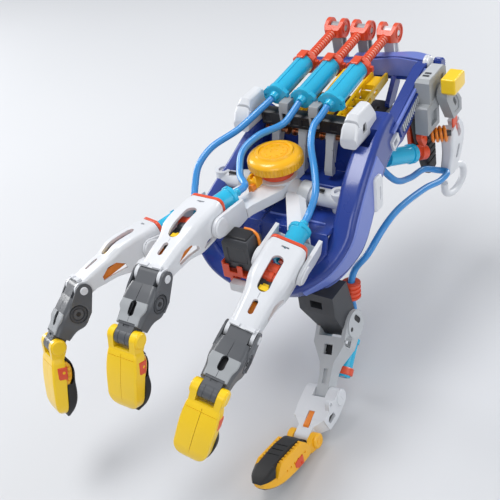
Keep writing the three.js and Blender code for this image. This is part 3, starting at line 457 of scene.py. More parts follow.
put("thumb_hose_guide_foot", hull(box(44, 50, -14, -7, -96, -86), box(40, 46, -20, -12, -94, -84)), "dark", "palm", (), 0.5)
# metacarpal
s = csg(hull(cylX(10.3, -12, 12, n=56), boxs(12, 6, 17, -7, 9)), ("+", hull(boxs(12, 12, 17, -7, 9), boxs(5.4, 28, 30, -6, 6.5))), ("+", hull(boxs(5.4, 27, 30, -6, 6.5), boxs(4.6, 36.5, 38.5, -4.5, 5))),
        ("-", hull(cylX(11.0, -9, 9), boxs(9, -14, 12, -12, 14))), ("-", boxs(8, 10, 22, -12, 5.2)), ("+", cylX(2.2, -12, 12)),
        ("+", hull(boxs(4.6, 36, 38.5, -4.5, 5), cylX(5, -4.6, 4.6, L0))), ("-", cylX(2.5, -14, 14, L0)), ("-", boxs(3.4, 17.5, 24.5, 2, 20)),
        ("-", hull(boxs(1.6, 34, 35, 3.9, 20), boxs(1.2, 43, 44, 3.9, 20))))
put("thumb_metacarpal_shell", ta(s, 0), "lgrey", "metacarpal_body", ("thumb_metacarpal",), 0.55, 3)
for sx, q in ((1, "l"), (-1, "r")):
    d = csg(cylX(10.0, 11.9, 13.2, n=56), ("-", cylX(1.7, 12.6, 16, 4.8, 4.2)), ("-", hull(cylX(2.1, 12.6, 16, -3.5, -2.4), cylX(2.1, 12.6, 16, -4.2, 2.6))))
    put(f"thumb_disc_{q}", ta(d if sx > 0 else d.mir(0), 0), "lgrey", "metacarpal_body", (), 0.4)
    # black sheets at the floor of the disc holes: painted shade inside the holes
    h = U(hull(cylX(2.1, 12.5, 12.7, -3.5, -2.4), cylX(2.1, 12.5, 12.7, -4.2, 2.6)), cylX(1.7, 12.5, 12.7, 4.8, 4.2))
    put(f"thumb_disc_hole_shade_{q}", ta(h if sx > 0 else h.mir(0), 0), "black", "metacarpal_body", (), 0)
b = csg(hull(cylX(2.6, 9.4, 12.0, 14.2, 6.6), box(9.4, 12.0, 9, 18, 0, 4.5)), ("-", cylX(1.3, 5, 16, 14.2, 6.6)))
put("thumb_link_lug", ta(b.mir(0), 0), "lgrey", "metacarpal_body", (), 0.4)
put("thumb_link_pin", ta(cylX(1.3, 9.6, 12.8, 14.2, 6.6).mir(0), 0), "white", "metacarpal_body", (), 0.3)
put("thumb_meta_core", ta(boxs(5.6, 14, 26, -3, 4.2), 0), "black", "metacarpal_body", (), 0.5)
# phalanx
s = csg(hull(cylX(6.4, -13, 13, n=48), boxs(13, 9, 13, -7, 6)), ("+", hull(boxs(13, 9, 13, -7, 6), boxs(12, 19, 22, -6, 5.5))), ("+", hull(boxs(12, 19, 21, -6, 5.5), boxs(5.6, L1 - 8, L1 - 6.6, -4.6, 4.6))),
        ("+", hull(boxs(5.6, L1 - 8, L1 - 6.6, -4.6, 4.6), cylX(4.9, -5.7, 5.7, L1))), ("-", hull(cylX(6.1, -5, 5), boxs(5, -12, 4, -14, 14))), ("-", cylX(2.5, -14, 14, L1)),
        ("-", boxs(5, 10, L1 - 10, -20, 3)), ("-", hull(boxs(20, 12, 19, -2.5, 1), boxs(20, 14, 17, -2.5, 2.5))), ("+", cylX(2.2, -9, 9)), ("-", boxs(2.4, 16.4, L1 - 5.5, 2, 20)))
put("thumb_phalanx_shell", ta(s, 1), "white", "phalanx_body", ("thumb_phalanx",), 0.7, 3)
put("thumb_phalanx_link", ta(hull(cylX(2.1, -2.1, 2.1, 17.4, 3.4), cylX(2.1, -2.1, 2.1, L1 - 7.4, 3.4)), 1), "orange", "phalanx_body", (), 0.4)
# black block filling the side window of the phalanx shell: painted shade of the hollow interior
put("thumb_phalanx_window_shade", ta(boxs(10.6, 11, 19.6, -3.4, 2.6), 1), "black", "phalanx_body", (), 0.4)
for sx, q in ((1, "l"), (-1, "r")):
    d = csg(hull(cylX(5.4, 12.8, 13.3), cylX(4.8, 13.3, 13.7)), ("-", box(13.5, 15, -0.35, 0.35, -2.8, 2.8)))
    put(f"thumb_knuckle_cap_{q}", ta(d if sx > 0 else d.mir(0), 1), "white", "phalanx_body", (), 0.3)
put("thumb_lug", ta(csg(hull(cylX(2.8, -12.9, -9.6, 10.4, 7.4), box(-12.9, -9.6, 5, 15, 2, 5)), ("-", cylX(1.3, -16, -6, 10.4, 7.4))), 1), "white", "phalanx_body", (), 0.4)
# tip
ys = [6.6, 10, 15, L2 - 24, L2 - 13, L2 - 6, L2 - 2.4, L2 - 0.6]
yy, (w, zt) = smooth_tab(ys, ([9.4, 9.7, 9.7, 9.6, 8.9, 7.4, 5.4, 3.6], [5.0, 5.8, 6.3, 6.3, 5.2, 3.4, 2.0, 0.8]), 30)
s = loft([rrect(q, a, b, -3.0, 2.6, 0.3, 7) for q, a, b in zip(yy, w, zt)])
e = csg(hull(cylX(5.3, -9.8, 9.8), boxs(9.6, 6.6, 8, -3, 4.6)), ("-", boxs(6.0, -9, 6.3, -9, 9)), ("-", cylX(6.5, -6.0, 6.0)))
s = csg(s, ("+", e), ("+", cylX(2.2, -9, 9)), ("-", box(-20, 20, 12.4, 12.7, 5.4, 30)), ("-", box(-0.16, 0.16, 9, L2 + 2, 4.4, 30)))
for k in range(6):
    s = csg(s, ("-", box(-20, -9.0, 14 + 4.2 * k, 15.3 + 4.2 * k, -3.2, -0.6)), ("-", box(9.0, 20, 14 + 4.2 * k, 15.3 + 4.2 * k, -3.2, -0.6)))
fin = hull(box(6.2, 9.3, 15, L2 - 16, -9.5, -9.0), box(6.4, 9.7, 11.5, L2 - 11.5, -6.4, -6.0), box(8.0, 9.7, 9.6, L2 - 9, -3.2, -2.2))
for k in range(9):
    fin = csg(fin, ("-", box(5.4, 8.0, 13.4 + 3.1 * k, 14.5 + 3.1 * k, -12, -8.5)))
fin = csg(fin, ("+", fin.mir(0)))
put("thumb_tip_fins", ta(fin.mir(2), 2), "yellow", "thumb_tip_body", (), 0.25)
put("thumb_tip_shell", ta(s.mir(2), 2), "yellow", "thumb_tip_body", ("thumb_tip",), 0.5, 3, 28)
for sx, q in ((1, "l"), (-1, "r")):
    d = csg(hull(cylX(5.2, 9.6, 10.8), cylX(4.3, 10.8, 11.5)), ("-", csg(cylX(2.4, 11.2, 14), ("-", cylX(1.6, 11, 15)))))
    put(f"thumb_boss_{q}", ta(d if sx > 0 else d.mir(0), 2), "yellow", "thumb_tip_body", (), 0.35)
    c = csg(hull(box(9.2, 10.2, 18, 24, -1.8, 4.4), box(9.2, 10.6, 19, 23, -1.0, 3.6), box(9.2, 10.1, 25, 27, -0.6, 2.4)), ("-", cylX(0.95, 10.0, 12, 21.4, 1.8)))
    put(f"thumb_clip_{q}", ta((c if sx > 0 else c.mir(0)).mir(2), 2), "red", "thumb_tip_body", (), 0.25)
yy, (w, zb, zt) = smooth_tab([8.8, 12, 20, L2 - 20, L2 - 9, L2 - 2, L2 + 0.9], ([8.4, 9.0, 9.4, 9.4, 8.2, 5.8, 3.4], [-6.2, -8.6, -10.6, -10.8, -9.2, -6.6, -4.6], [-3.2] * 7), 26)
s = loft([rrect(q, a, c, b, 0.6, 3.6, 7) for q, a, b, c in zip(yy, w, zb, zt)])
for sx in (1, -1):
    wdg = hull(box(5.2, 14, 14, L2 - 15, -13, -12.6), box(5.9, 14, 11, L2 - 11, -9.6, -9.2), box(8.7, 14, 8, L2 - 8, -3.2, 0))
    s = csg(s, ("-", wdg if sx > 0 else wdg.mir(0)))
s = csg(s, *[("-", box(-4.4, 4.4, 14 + 5 * k, 14.7 + 5 * k, -20, -10.5)) for k in range(6)])
put("thumb_pad_rubber", ta(s.mir(2), 2), "rubber", "thumb_tip_body", ("thumb_pad",), 0.4, 2)
yy, (w, zt) = smooth_tab([12, 18, L2 - 18, L2 - 8, L2 - 2], ([6.0, 7.0, 7.0, 5.6, 3.0], [5.9, 6.5, 6.3, 4.4, 2.2]), 22)
s = loft([rrect(q, a, b + 0.45, b - 2.0, 0.7, 0.4, 5) for q, a, b in zip(yy, w, zt)])
put("thumb_back_strip", ta(s.mir(2), 2), "rubber", "thumb_tip_body", (), 0.3)

# thumb slave cylinder
tz0 = np.cross(tx, ty[0])
tl0 = lambda a, b, c: T[0] + tx * a + ty[0] * b + tz0 * c
TC = [tl0(-2.5, 8, -15.6), tl0(-2.5, 36, -14.4)]; TN = tl0(-2.5, 3, -15.8)
tl = float(np.linalg.norm(TC[1] - TC[0])); tdir = un(TC[1] - TC[0])
tcx = un(np.cross(tdir, [0, 0, 1]))
s = csg(lathe([(5.4, -0.4), (6.5, 0), (6.5, 3.4), (5.6, 3.8), (5.5, tl - 1), (4.8, tl)], 44), ("-", cylY(3.4, 4, tl + 5)))
s = csg(s.at(TC[0], tdir, tcx), ("+", rod_to(TN, TC[0] + tdir * 0.5, 2.6)), ("+", rod_to(TN + tdir * 1.2, TN + tdir * 2.2, 3.1)))
put("thumb_slave_barrel", s, "cyan", "palm", ("thumb_slave_cylinder",), 0.3)
put("thumb_slave_rod", lathe([(3.2, tl - 12), (3.2, tl - 8), (1.9, tl - 7.6), (1.9, tl - 0.2)], 24).at(TC[0], tdir, tcx), "red", "palm", (), 0.2)
put("thumb_slave_ring", csg(lathe([(6.3, tl - 7.0), (6.8, tl - 6.4), (6.8, tl - 2.2), (6.3, tl - 1.6)], 44), ("+", hull(cylZ(2.2, -3, 3, 6.4, tl - 4.4, 24), cylZ(2.0, -3, 3, 3.0, tl - 4.4, 24))), ("-", cylY(5.55, tl - 10, tl + 2))).at(TC[0], tdir, -th), "red", "palm", (), 0.25)

# ------------------------------------------------------------------ blue frame
def limb(P, n=36, r=4.0, side=(1, 0, 0), off=(0, 0), kc=5):
    c = catmull([p[:3] for p in P], 1)
    s0 = np.r_[0, np.cumsum([np.linalg.norm(np.array(P[i + 1][:3]) - np.array(P[i][:3])) for i in range(len(P) - 1)])]; s0 /= s0[-1]
    u = np.linspace(0, 1, n); idx = u * (len(c) - 1)
    cc = np.array([[np.interp(q, range(len(c)), c[:, k]) for k in range(3)] for q in idx])
    yy, ab = smooth_tab(s0, ([p[3] for p in P], [p[4] for p in P]), n)
    Tn = np.gradient(cc, axis=0); Tn /= np.linalg.norm(Tn, axis=1)[:, None]
    X = np.array(side, float); rings = []
    for i in range(n):
        X = un(X - Tn[i] * (X @ Tn[i])); Z = np.cross(X, Tn[i])
        a, b = ab[0][i], ab[1][i]
        ring = rrect(0, a, b, -b, r, r, kc)
        o = cc[i] + X * off[0] + Z * off[1]
        rings.append(o + np.outer(ring[:, 0], X) + np.outer(ring[:, 2], Z))
    return loft(rings)
RP = [(52, 66, 3, 7.5, 11), (52.5, 54, -2, 7.8, 14), (54, 34, -9, 8.4, 14), (55.2, 17, -20, 8.4, 15), (55.6, 4, -35, 7.8, 16.5), (54.4, -8, -47.5, 8.2, 14.6), (46.5, -22, -59, 8.2, 11.6), (32, -34.4, -67.4, 7.4, 8.8), (15, -38, -71, 7, 6.5), (1.2, -39, -71.5, 6.4, 6)]
LP = [(-38, 66, -2, 4.6, 9), (-37.5, 50, -8, 4.8, 11.5), (-37.5, 30, -14, 5, 11.5), (-41, 14, -24, 5.4, 10.5), (-45, 2, -33, 6, 10.5), (-47.5, -11, -45, 7, 11.5), (-44, -24, -57, 7.4, 10.5), (-33, -33, -65, 7.4, 8.4), (-16, -38, -71, 7, 6.5), (-1.2, -39, -71.5, 6.4, 6)]
fr = limb(RP, 44, 4.2)
rail = hull(box(52.4, 60, 62, 74, -15, 3.4), box(52.4, 60, 112, 122, 2.4, 21.6))
fr = csg(fr, ("+", rail), ("-", hull(box(49, 66, 80, 84, -6, -2), box(49, 66, 104, 108, 3, 7))), ("-", box(48, 57, 30, 44, -6, 30).t(0, 0, 4)),
         ("-", ta(cylX(9.9, -10, 10), 0)), ("-", hull(box(26.7, 54.3, -32.3, -11.7, -92, -75.7), ta(cylX(9.4, -9, 9), 0))))
web = hull(box(0.5, 50, -16, 34, -34, -31), box(0.5, 50, -22, 44, -33.4, -31.6))
fr = csg(fr, ("+", web))
put("palm_rear_panel", U(box(-36.5, 44, 49.4, 51.2, -33.4, -8.4), box(-36.5, 44, 40, 51.2, -33.4, -31.6)), "navy", "palm", (), 0.5)
fw = csg(hull(box(-45, 50, -22.5, -20.5, -34, -31.4), box(-44, 50, -26.5, -24.5, -45, -43)), ("+", hull(box(-44, 50, -26.5, -24.5, -45, -43), box(-32, 34, -37.5, -35.5, -68, -66))))
for q in (-30, -15, 0, 15, 30):
    fw = csg(fw, ("+", hull(box(q - 0.7, q + 0.7, -25, -22, -36, -33), box(q - 0.7, q + 0.7, -28.4, -25, -45, -43))))
put("palm_front_panel", fw, "navy", "palm", (), 0.4)
put("frame_right_body", fr, "navy", "palm", ("frame_right",), 0.7, 3)
fl_ = limb(LP, 44, 3.2)
fl_ = csg(fl_, ("+", hull(box(-42, -0.5, -16, 34, -34, -31), box(-36, -0.5, -22, 44, -33.4, -31.6))))
# ribs on the navy web, coloured in the lighter painted-highlight blue along their tops
for k, (x0_, x1_) in enumerate(((-34, -2), (2, 44))):
    put(f"web_rib{k + 1}", U(box(x0_, x1_, -13.5, -12.2, -31.2, -29.9), box(x0_, x1_, 27, 28.3, -31.2, -29.9)), "lav", "palm", (), 0.3)
put("frame_left_body", fl_, "navy", "palm", ("frame_left",), 0.6, 3)
# lighter outer skin panels and the raised ridge: painted highlight and reflection in lighter blue on the lit outer
# faces, and a painted highlight line along the ridge
ro = [(p[0], p[1], p[2], 1.1, max(p[4] - 5.5, 3)) for p in RP[2:8]]
put("frame_right_highlight_panel", limb(ro, 30, 1.0, off=(8.3, -1.6)), "lav", "palm", (), 0.3)
rr = [(p[0], p[1], p[2], 1.0, 1.0) for p in RP[1:8]]
put("frame_right_highlight_ridge", limb(rr, 40, 0.95, off=(6.0, 13.4)), "lav", "palm", (), 0)
lr = [(p[0], p[1], p[2], 0.9, 0.9) for p in LP[1:8]]
put("frame_left_highlight_ridge", limb(lr, 40, 0.85, off=(-2.8, 10.6)), "lav", "palm", (), 0)
li = [(p[0], p[1], p[2], 0.9, max(p[4] - 4.5, 3)) for p in LP[1:7]]
put("frame_left_highlight_panel", limb(li, 26, 0.8, off=(-5.2, 0)), "lav", "palm", (), 0.25)
# toothed rail on the outer rear side
ry = un([0, 52, 17.6]); rx = np.array([1.0, 0, 0])
rk = csg(box(-1.7, 1.7, 0, 50, -4.4, 4.4), ("-", hull(box(0.2, 3, 3, 4, -3.2, 3.2), box(0.2, 3, 46, 47, -3.2, 3.2))))
for k in range(16):
    put(f"rack_tooth{k + 1}", box(0.1, 1.9, 4.6 + 2.6 * k, 5.8 + 2.6 * k, -3.3, 3.3).at((61.4, 66, -4), ry, rx), "lgrey", "palm", (), 0.15, 1)
rk = rk.at((61.4, 66, -4), ry, rx)
put("rail_rack", rk, "navy", "palm", (), 0.2, 1)
# raised lip of the rail, coloured in the lighter painted-highlight blue
put("rail_lip", box(-1.4, 1.4, -6, 54, 5.2, 7.6).at((60.6, 66, -4), ry, rx), "lav", "palm", (), 0.4)
put("rail_notch_plate", csg(box(-1.2, 1.2, -12, -2, -5, 3), ("-", box(-3, 3, -10, -5, -3, 1.2))).at((61.2, 66, -4), ry, rx), "white", "palm", (), 0.3)
for k, (px, py, pz) in enumerate(((64.2, 26, -27), (63.8, 4, -36), (58.6, -16, -52))):
    put(f"frame_screw{k + 1}", csg(cylX(2.0, px, px + 0.9, py, pz, 24), ("-", box(px + 0.4, px + 3, py - 1.4, py + 1.4, pz - 0.3, pz + 0.3)), ("-", box(px + 0.4, px + 3, py - 0.3, py + 0.3, pz - 1.4, pz + 1.4))), "steel", "palm", (), 0.12, 1)
# side cover
s = csg(loft([rrect(q, a, b, -b, 3.0, 3.0, 6) for q, a, b in ((0, 5.6, 12.6), (1.6, 5.6, 12.6), (2.9, 4.6, 11.4))]), ("-", hull(cylY(0.9, 2.2, 5, -1.0, 4), cylY(0.9, 2.2, 5, -1.0, -4))))
put("side_cover_shell", s.at((63.5, 22.6, -24.5), (1, 0, 0), un([0, -0.97, 0.12])), "white", "palm", ("side_cover",), 0.3, 2)

# ------------------------------------------------------------------ crossbar, caps, hand plate
s = csg(hull(box(-30.8, 38.8, 41, 51, 3, 12), box(-30.8, 38.8, 43, 49, 2.4, 13)), ("+", box(-16, -8, 42, 50, 10, 20)), ("+", box(8, 16, 42, 50, 10, 20)))
for q in (-26, -4, 4, 26):
    s = csg(s, ("-", box(q - 2.6, q + 2.6, 38, 41.8, 5, 10)))
put("crossbar_body", s, "black", "palm", ("crossbar",), 0.5, 2)
for k, q in enumerate((-11.2, 12.0)):
    put(f"crossbar_clip{k + 1}", csg(hull(box(q - 3.6, q + 3.6, 39.4, 41.0, 6, 17), box(q - 3.6, q + 3.6, 41, 50, 17, 21.6)), ("-", box(q - 1.6, q + 1.6, 36, 42, 9, 14)), ("-", box(q - 5, q + 5, 41.6, 52, 4, 16.4))), "mgrey", "palm", (), 0.4)
def cap():
    a = hull(box(39.2, 52, 28, 56, 8, 18), box(41, 50, 33, 52, 18, 26), box(39.2, 52, 24, 50, 4, 12))
    a = hull(*[loft([rrect(q, w_, t_, b_, 3.2, 3.2, 6) for q in (y0, y1)]).t(45.6, 0, 0) for y0, y1, w_, t_, b_ in ((28, 54, 6.2, 18.5, 8), (34, 51, 4.6, 25.6, 14), (24.6, 50, 6.2, 12, 4.2))])
    return csg(a, ("-", hull(box(49, 60, 34.5, 39.5, 11, 15), box(49, 60, 36, 40, 11, 17))), ("-", box(39, 54, 30, 31, 17.2, 30)))
put("end_cap_right_shell", cap(), "white", "palm", ("end_cap_right",), 0.6, 3)
put("end_cap_left_shell", cap().mir(0).t(8, 0, 0), "white", "palm", ("end_cap_left",), 0.6, 3)
# black plate at the floor of the slot cut in the cap: painted shade in the recess
put("end_cap_slot_shade", hull(box(49.4, 50.4, 34.8, 39.2, 11.3, 14.7), box(49.4, 50.4, 36, 39.7, 11.3, 16.7)), "black", "palm", (), 0.1)
hp = csg(hull(box(-32.4, 32.4, 56, 118, -17, -13.5), box(-29, 29, 52, 122, -17, -13.5)), *[("-", box(q - 1.2, q + 1.2, 60, 112, -14.3, -10)) for q in (-24, -12, 0, 12, 24)])
put("hand_plate_body", hp, "black", "palm", ("hand_plate",), 0.6, 2)

# ------------------------------------------------------------------ deck, posts, knob
RE = [np.array(r[2]) for r in rear_ends]
dk = csg(cylZ(13.5, -20, -12, 0, 5.8, 64), ("+", box(-10, 10, 10, 23, -20, -13)))
def arm(sx):
    return tube([(sx * 4, 5, -17), (sx * 16, 3.6, -20), (sx * 28, 3.2, -21.4), (sx * 38, 4.4, -22.6), (sx * 45.7, 5.8, -24)], [7.0] * 3 + [6.6] * 3 + [6.2] * 60, 20, 2.0)
dk = csg(dk, ("+", arm(1)), ("+", arm(-1)), ("+", cylZ(5.8, -31, -16.6, 45.7, 5.8, 40)), ("+", cylZ(5.8, -31, -16.6, -45.7, 5.8, 40)),
         ("-", cylZ(3.2, -18.6, -10, 45.7, 5.8, 32)), ("-", cylZ(3.2, -18.6, -10, -45.7, 5.8, 32)),
         ("+", hull(box(-1, 11, -8, 4, -21, -14), box(-8, 4, -34, -28, -18, -11))), ("+", hull(box(-8, 4, -34, -28, -18, -11), box(-26, 0, -42, -37.2, -20, -13))),
         ("+", hull(box(12, 22, -6, 2, -25, -18), box(30, 42, -37, -30, -36, -28))), ("+", hull(box(-21, -9, -6, 2, -25, -18), box(-54, -42, -37, -30, -40, -32))),
         ("-", box(30, 37, 1.6, 4.0, -20, -10).t(0, -1, 0)), ("-", box(-38, -31, 0.6, 3.0, -20, -10)))
for k in range(3):
    P, x, y, L = FN[k]
    dk = csg(dk, ("-", boxs(W + 3.4, -27.5, -14, -13.5, 12).at(P[0], y[0], x)))
put("deck_body", dk, "white", "palm", ("deck",), 0.7, 3)
# black blocks inside the slots cut through the deck: painted shade in the slots
for k, sx in enumerate((1, -1)):
    put(f"deck_post_slot_shade{k + 1}", box(sx * 34 - 3.4, sx * 34 + 3.4, 0.8, 2.6, -15.9, -14.7), "black", "palm", (), 0.2)
    put(f"deck_sleeve{k + 1}", csg(tube([(sx * 19, 3.5, -20.3), (sx * 27, 3.2, -21.4)], 8.0, 24, 2), ("-", tube([(sx * 15, 3.6, -19.9), (sx * 31, 3.3, -21.9)], 6.7, 20, 2))), "lgrey", "palm", (), 0.4)
prof = [(0, 3.0), (2.2, 3.0), (2.6, 3.5), (8.6, 3.5), (9.0, 3.0), (10.4, 3.0), (10.8, 4.0), (12.4, 4.2), (12.9, 3.5), (13.4, 2.9), (15.6, 2.5), (16.4, 2.2), (17.6, 1.3), (18.5, 0.2), (18.9, -0.8), (19.0, -1.6), (19.0, -5.4), (18.4, -6.0), (0, -6.0)]
rings = []
n_k = 270
for r_, z_ in prof[::-1]:
    ring = []
    for j in range(n_k):
        a = 2 * math.pi * j / n_k
        rr_ = max(r_, 1e-3)
        if -5.7 < z_ < -1.0 and r_ > 18.9:
            rr_ -= 0.75 * (0.5 + 0.5 * math.cos(45 * a))
        ring.append((rr_ * math.cos(a), 5.8 + rr_ * math.sin(a), z_ + 2.5))
    rings.append(np.array(ring))
put("knob_body", loft(rings), "yellow", "knob_body", ("knob",), 0)
tk = []
for k in range(10):
    a = math.radians(36 * k + 8)
    tk.append(box(-0.9, 0.9, 6.2, 7.2, 5.8, 6.35).rot("Z", math.degrees(a)).t(0, 5.8, 0))
tv = np.vstack([q.v for q in tk]); tf = []; off = 0
for q in tk:
    tf += [[a + off for a in g] for g in q.f]; off += len(q.v)
put("knob_marks", S(tv, tf), "yellow", "knob_body", (), 0)
put("knob_stem_body", lathe([(10.6, -11.9), (11.4, -11.2), (11.4, -8.4), (10.6, -7.6), (6.4, -6.4), (6.0, -3.8)], 56).rot("X", 90).t(0, 5.8, 0), "red", "knob_body", ("knob_stem",), 0.3)
put("deck_clip", csg(hull(box(-13.5, -4.5, -14, -6, -13, -8.4), box(-11.5, -6, -12, -8, -8.4, -5)), ("-", box(-10, -7.6, -20, 0, -7.2, 0))), "yellow", "palm", (), 0.5)
put("deck_clip_tongue", hull(box(-8, -4.4, -19, -14.5, -13, -9.6), box(-7.6, -4.8, -18, -15.2, -9.6, -8)), "orange", "palm", (), 0.4)

# relay box between the fingers
put("relay_box_body", csg(hull(box(-0.6, 19.6, -66, -50, -36, -19), box(1, 18, -64.4, -51.6, -39.6, -16.2)), ("-", box(3, 17, -70, -65.4, -33, -22))), "dark", "palm", ("relay_box",), 1.0, 3)
put("relay_box_band", tube([[9, -52, -15.6], [15, -52.5, -15.4], [19.4, -54, -17], [20.8, -55, -20], [21.2, -55.6, -28], [20.6, -56, -36]], 1.0, 12, 1.0), "orange", "palm", (), 0)
put("relay_box_lid", hull(box(1.6, 16.8, -63.4, -52.6, -16.6, -15.6), box(2.6, 15.8, -62.6, -53.4, -15.6, -15.0)), "black", "palm", (), 0.2)
put("relay_saddle_body", csg(hull(box(0.4, 19.6, -66, -42, -50, -45), box(4, 16, -62, -48, -42, -40.6)), ("-", box(6, 14, -70, -60, -52, -44))), "red", "palm", ("relay_saddle",), 0.6, 2)
put("relay_tray", csg(U(box(-2.4, 20.2, -68, -46, -45.6, -41.4), box(-2.4, -1.0, -68, -46, -45.6, -33), box(-2.4, 13, -68, -66.7, -45.6, -34.5)), ("-", box(-4, 0, -60, -54, -40, -30)), ("-", box(3, 9, -70, -64, -40, -30)), ("-", box(5, 15, -70, -64, -47, -43))), "red", "palm", (), 0.5)
put("relay_wedge", hull(box(4, 16, -72, -66.4, -52, -46), box(6, 14, -66, -62, -56, -50.4)), "white", "palm", (), 0.6)

# ------------------------------------------------------------------ master cylinders and their linkages
my = un([0, 93.3, 8.3]); mx = np.array([1.0, 0, 0])
for i, x0 in enumerate((-21.5, 0, 21.5)):
    n = i + 1; o = np.array([x0, 49.7, 22.7]); at = lambda s: s.at(o, my, mx)
    b = csg(lathe([(5.8, -2), (7.4, -1.4), (7.4, 2.6), (6.9, 3.2), (6.9, 41.4)], 56), ("-", cylY(4.6, 3.4, 50)))
    lug = csg(hull(boxs(9.4, -1.6, 1.8, -4.2, 2.0), boxs(7.0, -1.6, 1.8, -5.4, 4.4)), ("-", cylY(1.3, -5, 5, 7.9, -1.0)), ("-", cylY(1.3, -5, 5, -7.9, -1.0)))
    b = csg(b, ("+", lug), ("+", lathe([(2.8, -6.0), (3.1, -5.2), (2.6, -4.4), (3.2, -3.2), (3.8, -1.2)], 32)), ("+", box(-0.7, 0.7, 1, 40, 6.4, 7.5)))
    put(f"master{n}_barrel", at(b), "cyan", "palm", (f"master_cylinder{n}",), 0.3)
    col_ = csg(lathe([(8.2, 41.0), (8.6, 41.6), (8.6, 46.0), (8.0, 46.6)], 8).rot("Y", 22.5), ("-", cylY(3.85, 36, 50)), ("+", boxs(10.2, 42.4, 45.2, -1.8, 1.8)), ("-", cylY(3.85, 36, 50)), ("-", boxs(8.6, 40, 42.2, 5.6, 9)))
    put(f"master{n}_collar", at(col_), "red", "palm", (), 0.4)
    put(f"master{n}_collar_tab", at(hull(boxs(3.0, 38.0, 45, 7.2, 8.8), boxs(2.4, 36.2, 38, 7.0, 8.0))), "red", "palm", (), 0.3)
    pr = [(3.0, 30.0), (4.3, 30.2), (4.3, 34.6), (3.0, 35.0), (2.9, 36), (2.9, 84.5)]
    put(f"plunger{n}_core", at(lathe(pr, 28)), "pale", f"plunger_body{n}", (), 0)
    rib = []
    k = 47.4
    while k < 84.6:
        rib.append(csg(lathe([(3.1, k), (3.5, k + 0.25), (3.5, k + 0.95), (3.1, k + 1.2)], 24), ("-", cylY(2.4, k - 1, k + 3)))); k += 2.75
    v = np.vstack([q.v for q in rib]); fcs = []; off = 0
    for q in rib:
        fcs += [[a + off for a in g] for g in q.f]; off += len(q.v)
    put(f"plunger{n}_ribs", at(S(v, fcs)), "red", f"plunger_body{n}", (), 0)
    put(f"plunger{n}_rail", at(U(boxs(0.55, 46.9, 85, 2.2, 3.35), boxs(0.55, 46.9, 85, -3.35, -2.2))), "red", f"plunger_body{n}", (), 0.1, 1)
    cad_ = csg(hull(boxs(5.4, 83.6, 84.4, -3.0, 3.0), boxs(7.2, 87.4, 88, -4.4, 4.4), cylX(7.1, -7.2, 7.2, 93.7, 0, 56)), ("-", boxs(4.15, 87.6, 110, -12, 12)), ("-", hull(cylX(2.3, -12, 12, 93.7, 0.1), cylX(2.3, -12, 12, 93.7, -0.7))))
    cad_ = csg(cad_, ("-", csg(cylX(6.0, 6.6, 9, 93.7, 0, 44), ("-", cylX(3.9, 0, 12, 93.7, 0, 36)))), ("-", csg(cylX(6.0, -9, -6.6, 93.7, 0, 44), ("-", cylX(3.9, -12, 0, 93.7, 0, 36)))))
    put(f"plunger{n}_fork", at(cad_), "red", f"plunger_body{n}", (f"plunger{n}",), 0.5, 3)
    c = o + my * 93.7; bq = np.array([x0, c[1] + 2.835, c[2] - 31.874])
    cx = lambda r_, w_, p: cylX(r_, x0 - w_, x0 + w_, p[1], p[2], 36)
    mid = (c + bq) / 2
    rk_ = csg(hull(cx(4.2, 3.9, c), cx(4.3, 3.9, bq)), ("-", cx(2.3, 9, bq)), ("-", hull(cx(1.5, 9, c * 0.72 + bq * 0.28), cx(1.5, 9, c * 0.5 + bq * 0.5))),
              ("-", box(x0 + 2.6, x0 + 9, mid[1] - 2.2, mid[1] + 2.2, bq[2] + 5, c[2] - 4.6)), ("+", cx(2.0, 7.0, c)))
    put(f"rocker{n}_arm", rk_, "white" if n == 3 else "mgrey", f"rocker_body{n}", (f"rocker_link{n}",), 0.5)
    lv = csg(hull(box(x0 - 6.6, x0 + 6.6, 51.6, 60, -5, 1), box(x0 - 6.6, x0 + 6.6, 114, 122, 3.4, 9.4)),
             ("-", csg(box(x0 - 4.9, x0 + 4.9, 50, 140, -2.0, 30), ("-", box(x0 - 9, x0 + 9, 108, 140, -10, 30)))), ("-", box(x0 - 4.9, x0 + 4.9, 107, 140, 5.6, 30)),
             *[("-", hull(cylX(1.5, x0 - 9, x0 + 9, 66 + 11 * q, 0.2 + 1.2 * q), cylX(1.5, x0 - 9, x0 + 9, 70 + 11 * q, 0.6 + 1.2 * q))) for q in range(4)],
             *[("-", cylZ(1.6, -20, 20, x0, 62 + 11 * q)) for q in range(5)])
    for q in range(4):
        lv = csg(lv, ("+", box(x0 - 5.2, x0 + 5.2, 67.4 + 11 * q, 68.4 + 11 * q, -2.2, 1.6 + 1.0 * q)))
    put(f"lever{n}_channel", lv, "lemon", f"lever_body{n}", (f"finger_lever{n}",), 0.35)
    ar = csg(hull(cylX(3.9, x0 - 3.4, x0 + 3.4, 46, -2.4), box(x0 - 3.2, x0 + 3.2, 51, 56, -4.6, 0.6)), ("+", hull(cylX(3.9, x0 - 3.0, x0 + 3.0, 46, -2.4), box(x0 - 2.8, x0 + 2.8, 38.4, 42.6, -17, -13))),
             ("+", hull(box(x0 - 2.8, x0 + 2.8, 38.4, 42.6, -17, -13), box(x0 - 3, x0 + 3, 35, 39, -27, -23))), ("-", cylX(2.2, x0 - 9, x0 + 9, 46, -2.4)), ("-", box(x0 + 1.8, x0 + 9, 39.6, 41.6, -23, -9)))
    put(f"lever{n}_arm", ar, "lgrey", f"lever_body{n}", (), 0.6)
    put(f"lever{n}_pin", U(cylX(1.9, x0 - 8.2, x0 + 8.2, 46, -2.4), hull(cylX(3.4, x0 - 8.6, x0 - 7.4, 46, -2.4), cylX(2.8, x0 - 9.2, x0 - 8.6, 46, -2.4)), hull(cylX(3.4, x0 + 7.4, x0 + 8.6, 46, -2.4), cylX(2.8, x0 + 8.6, x0 + 9.2, 46, -2.4))), "copper", "palm", (), 0.2)

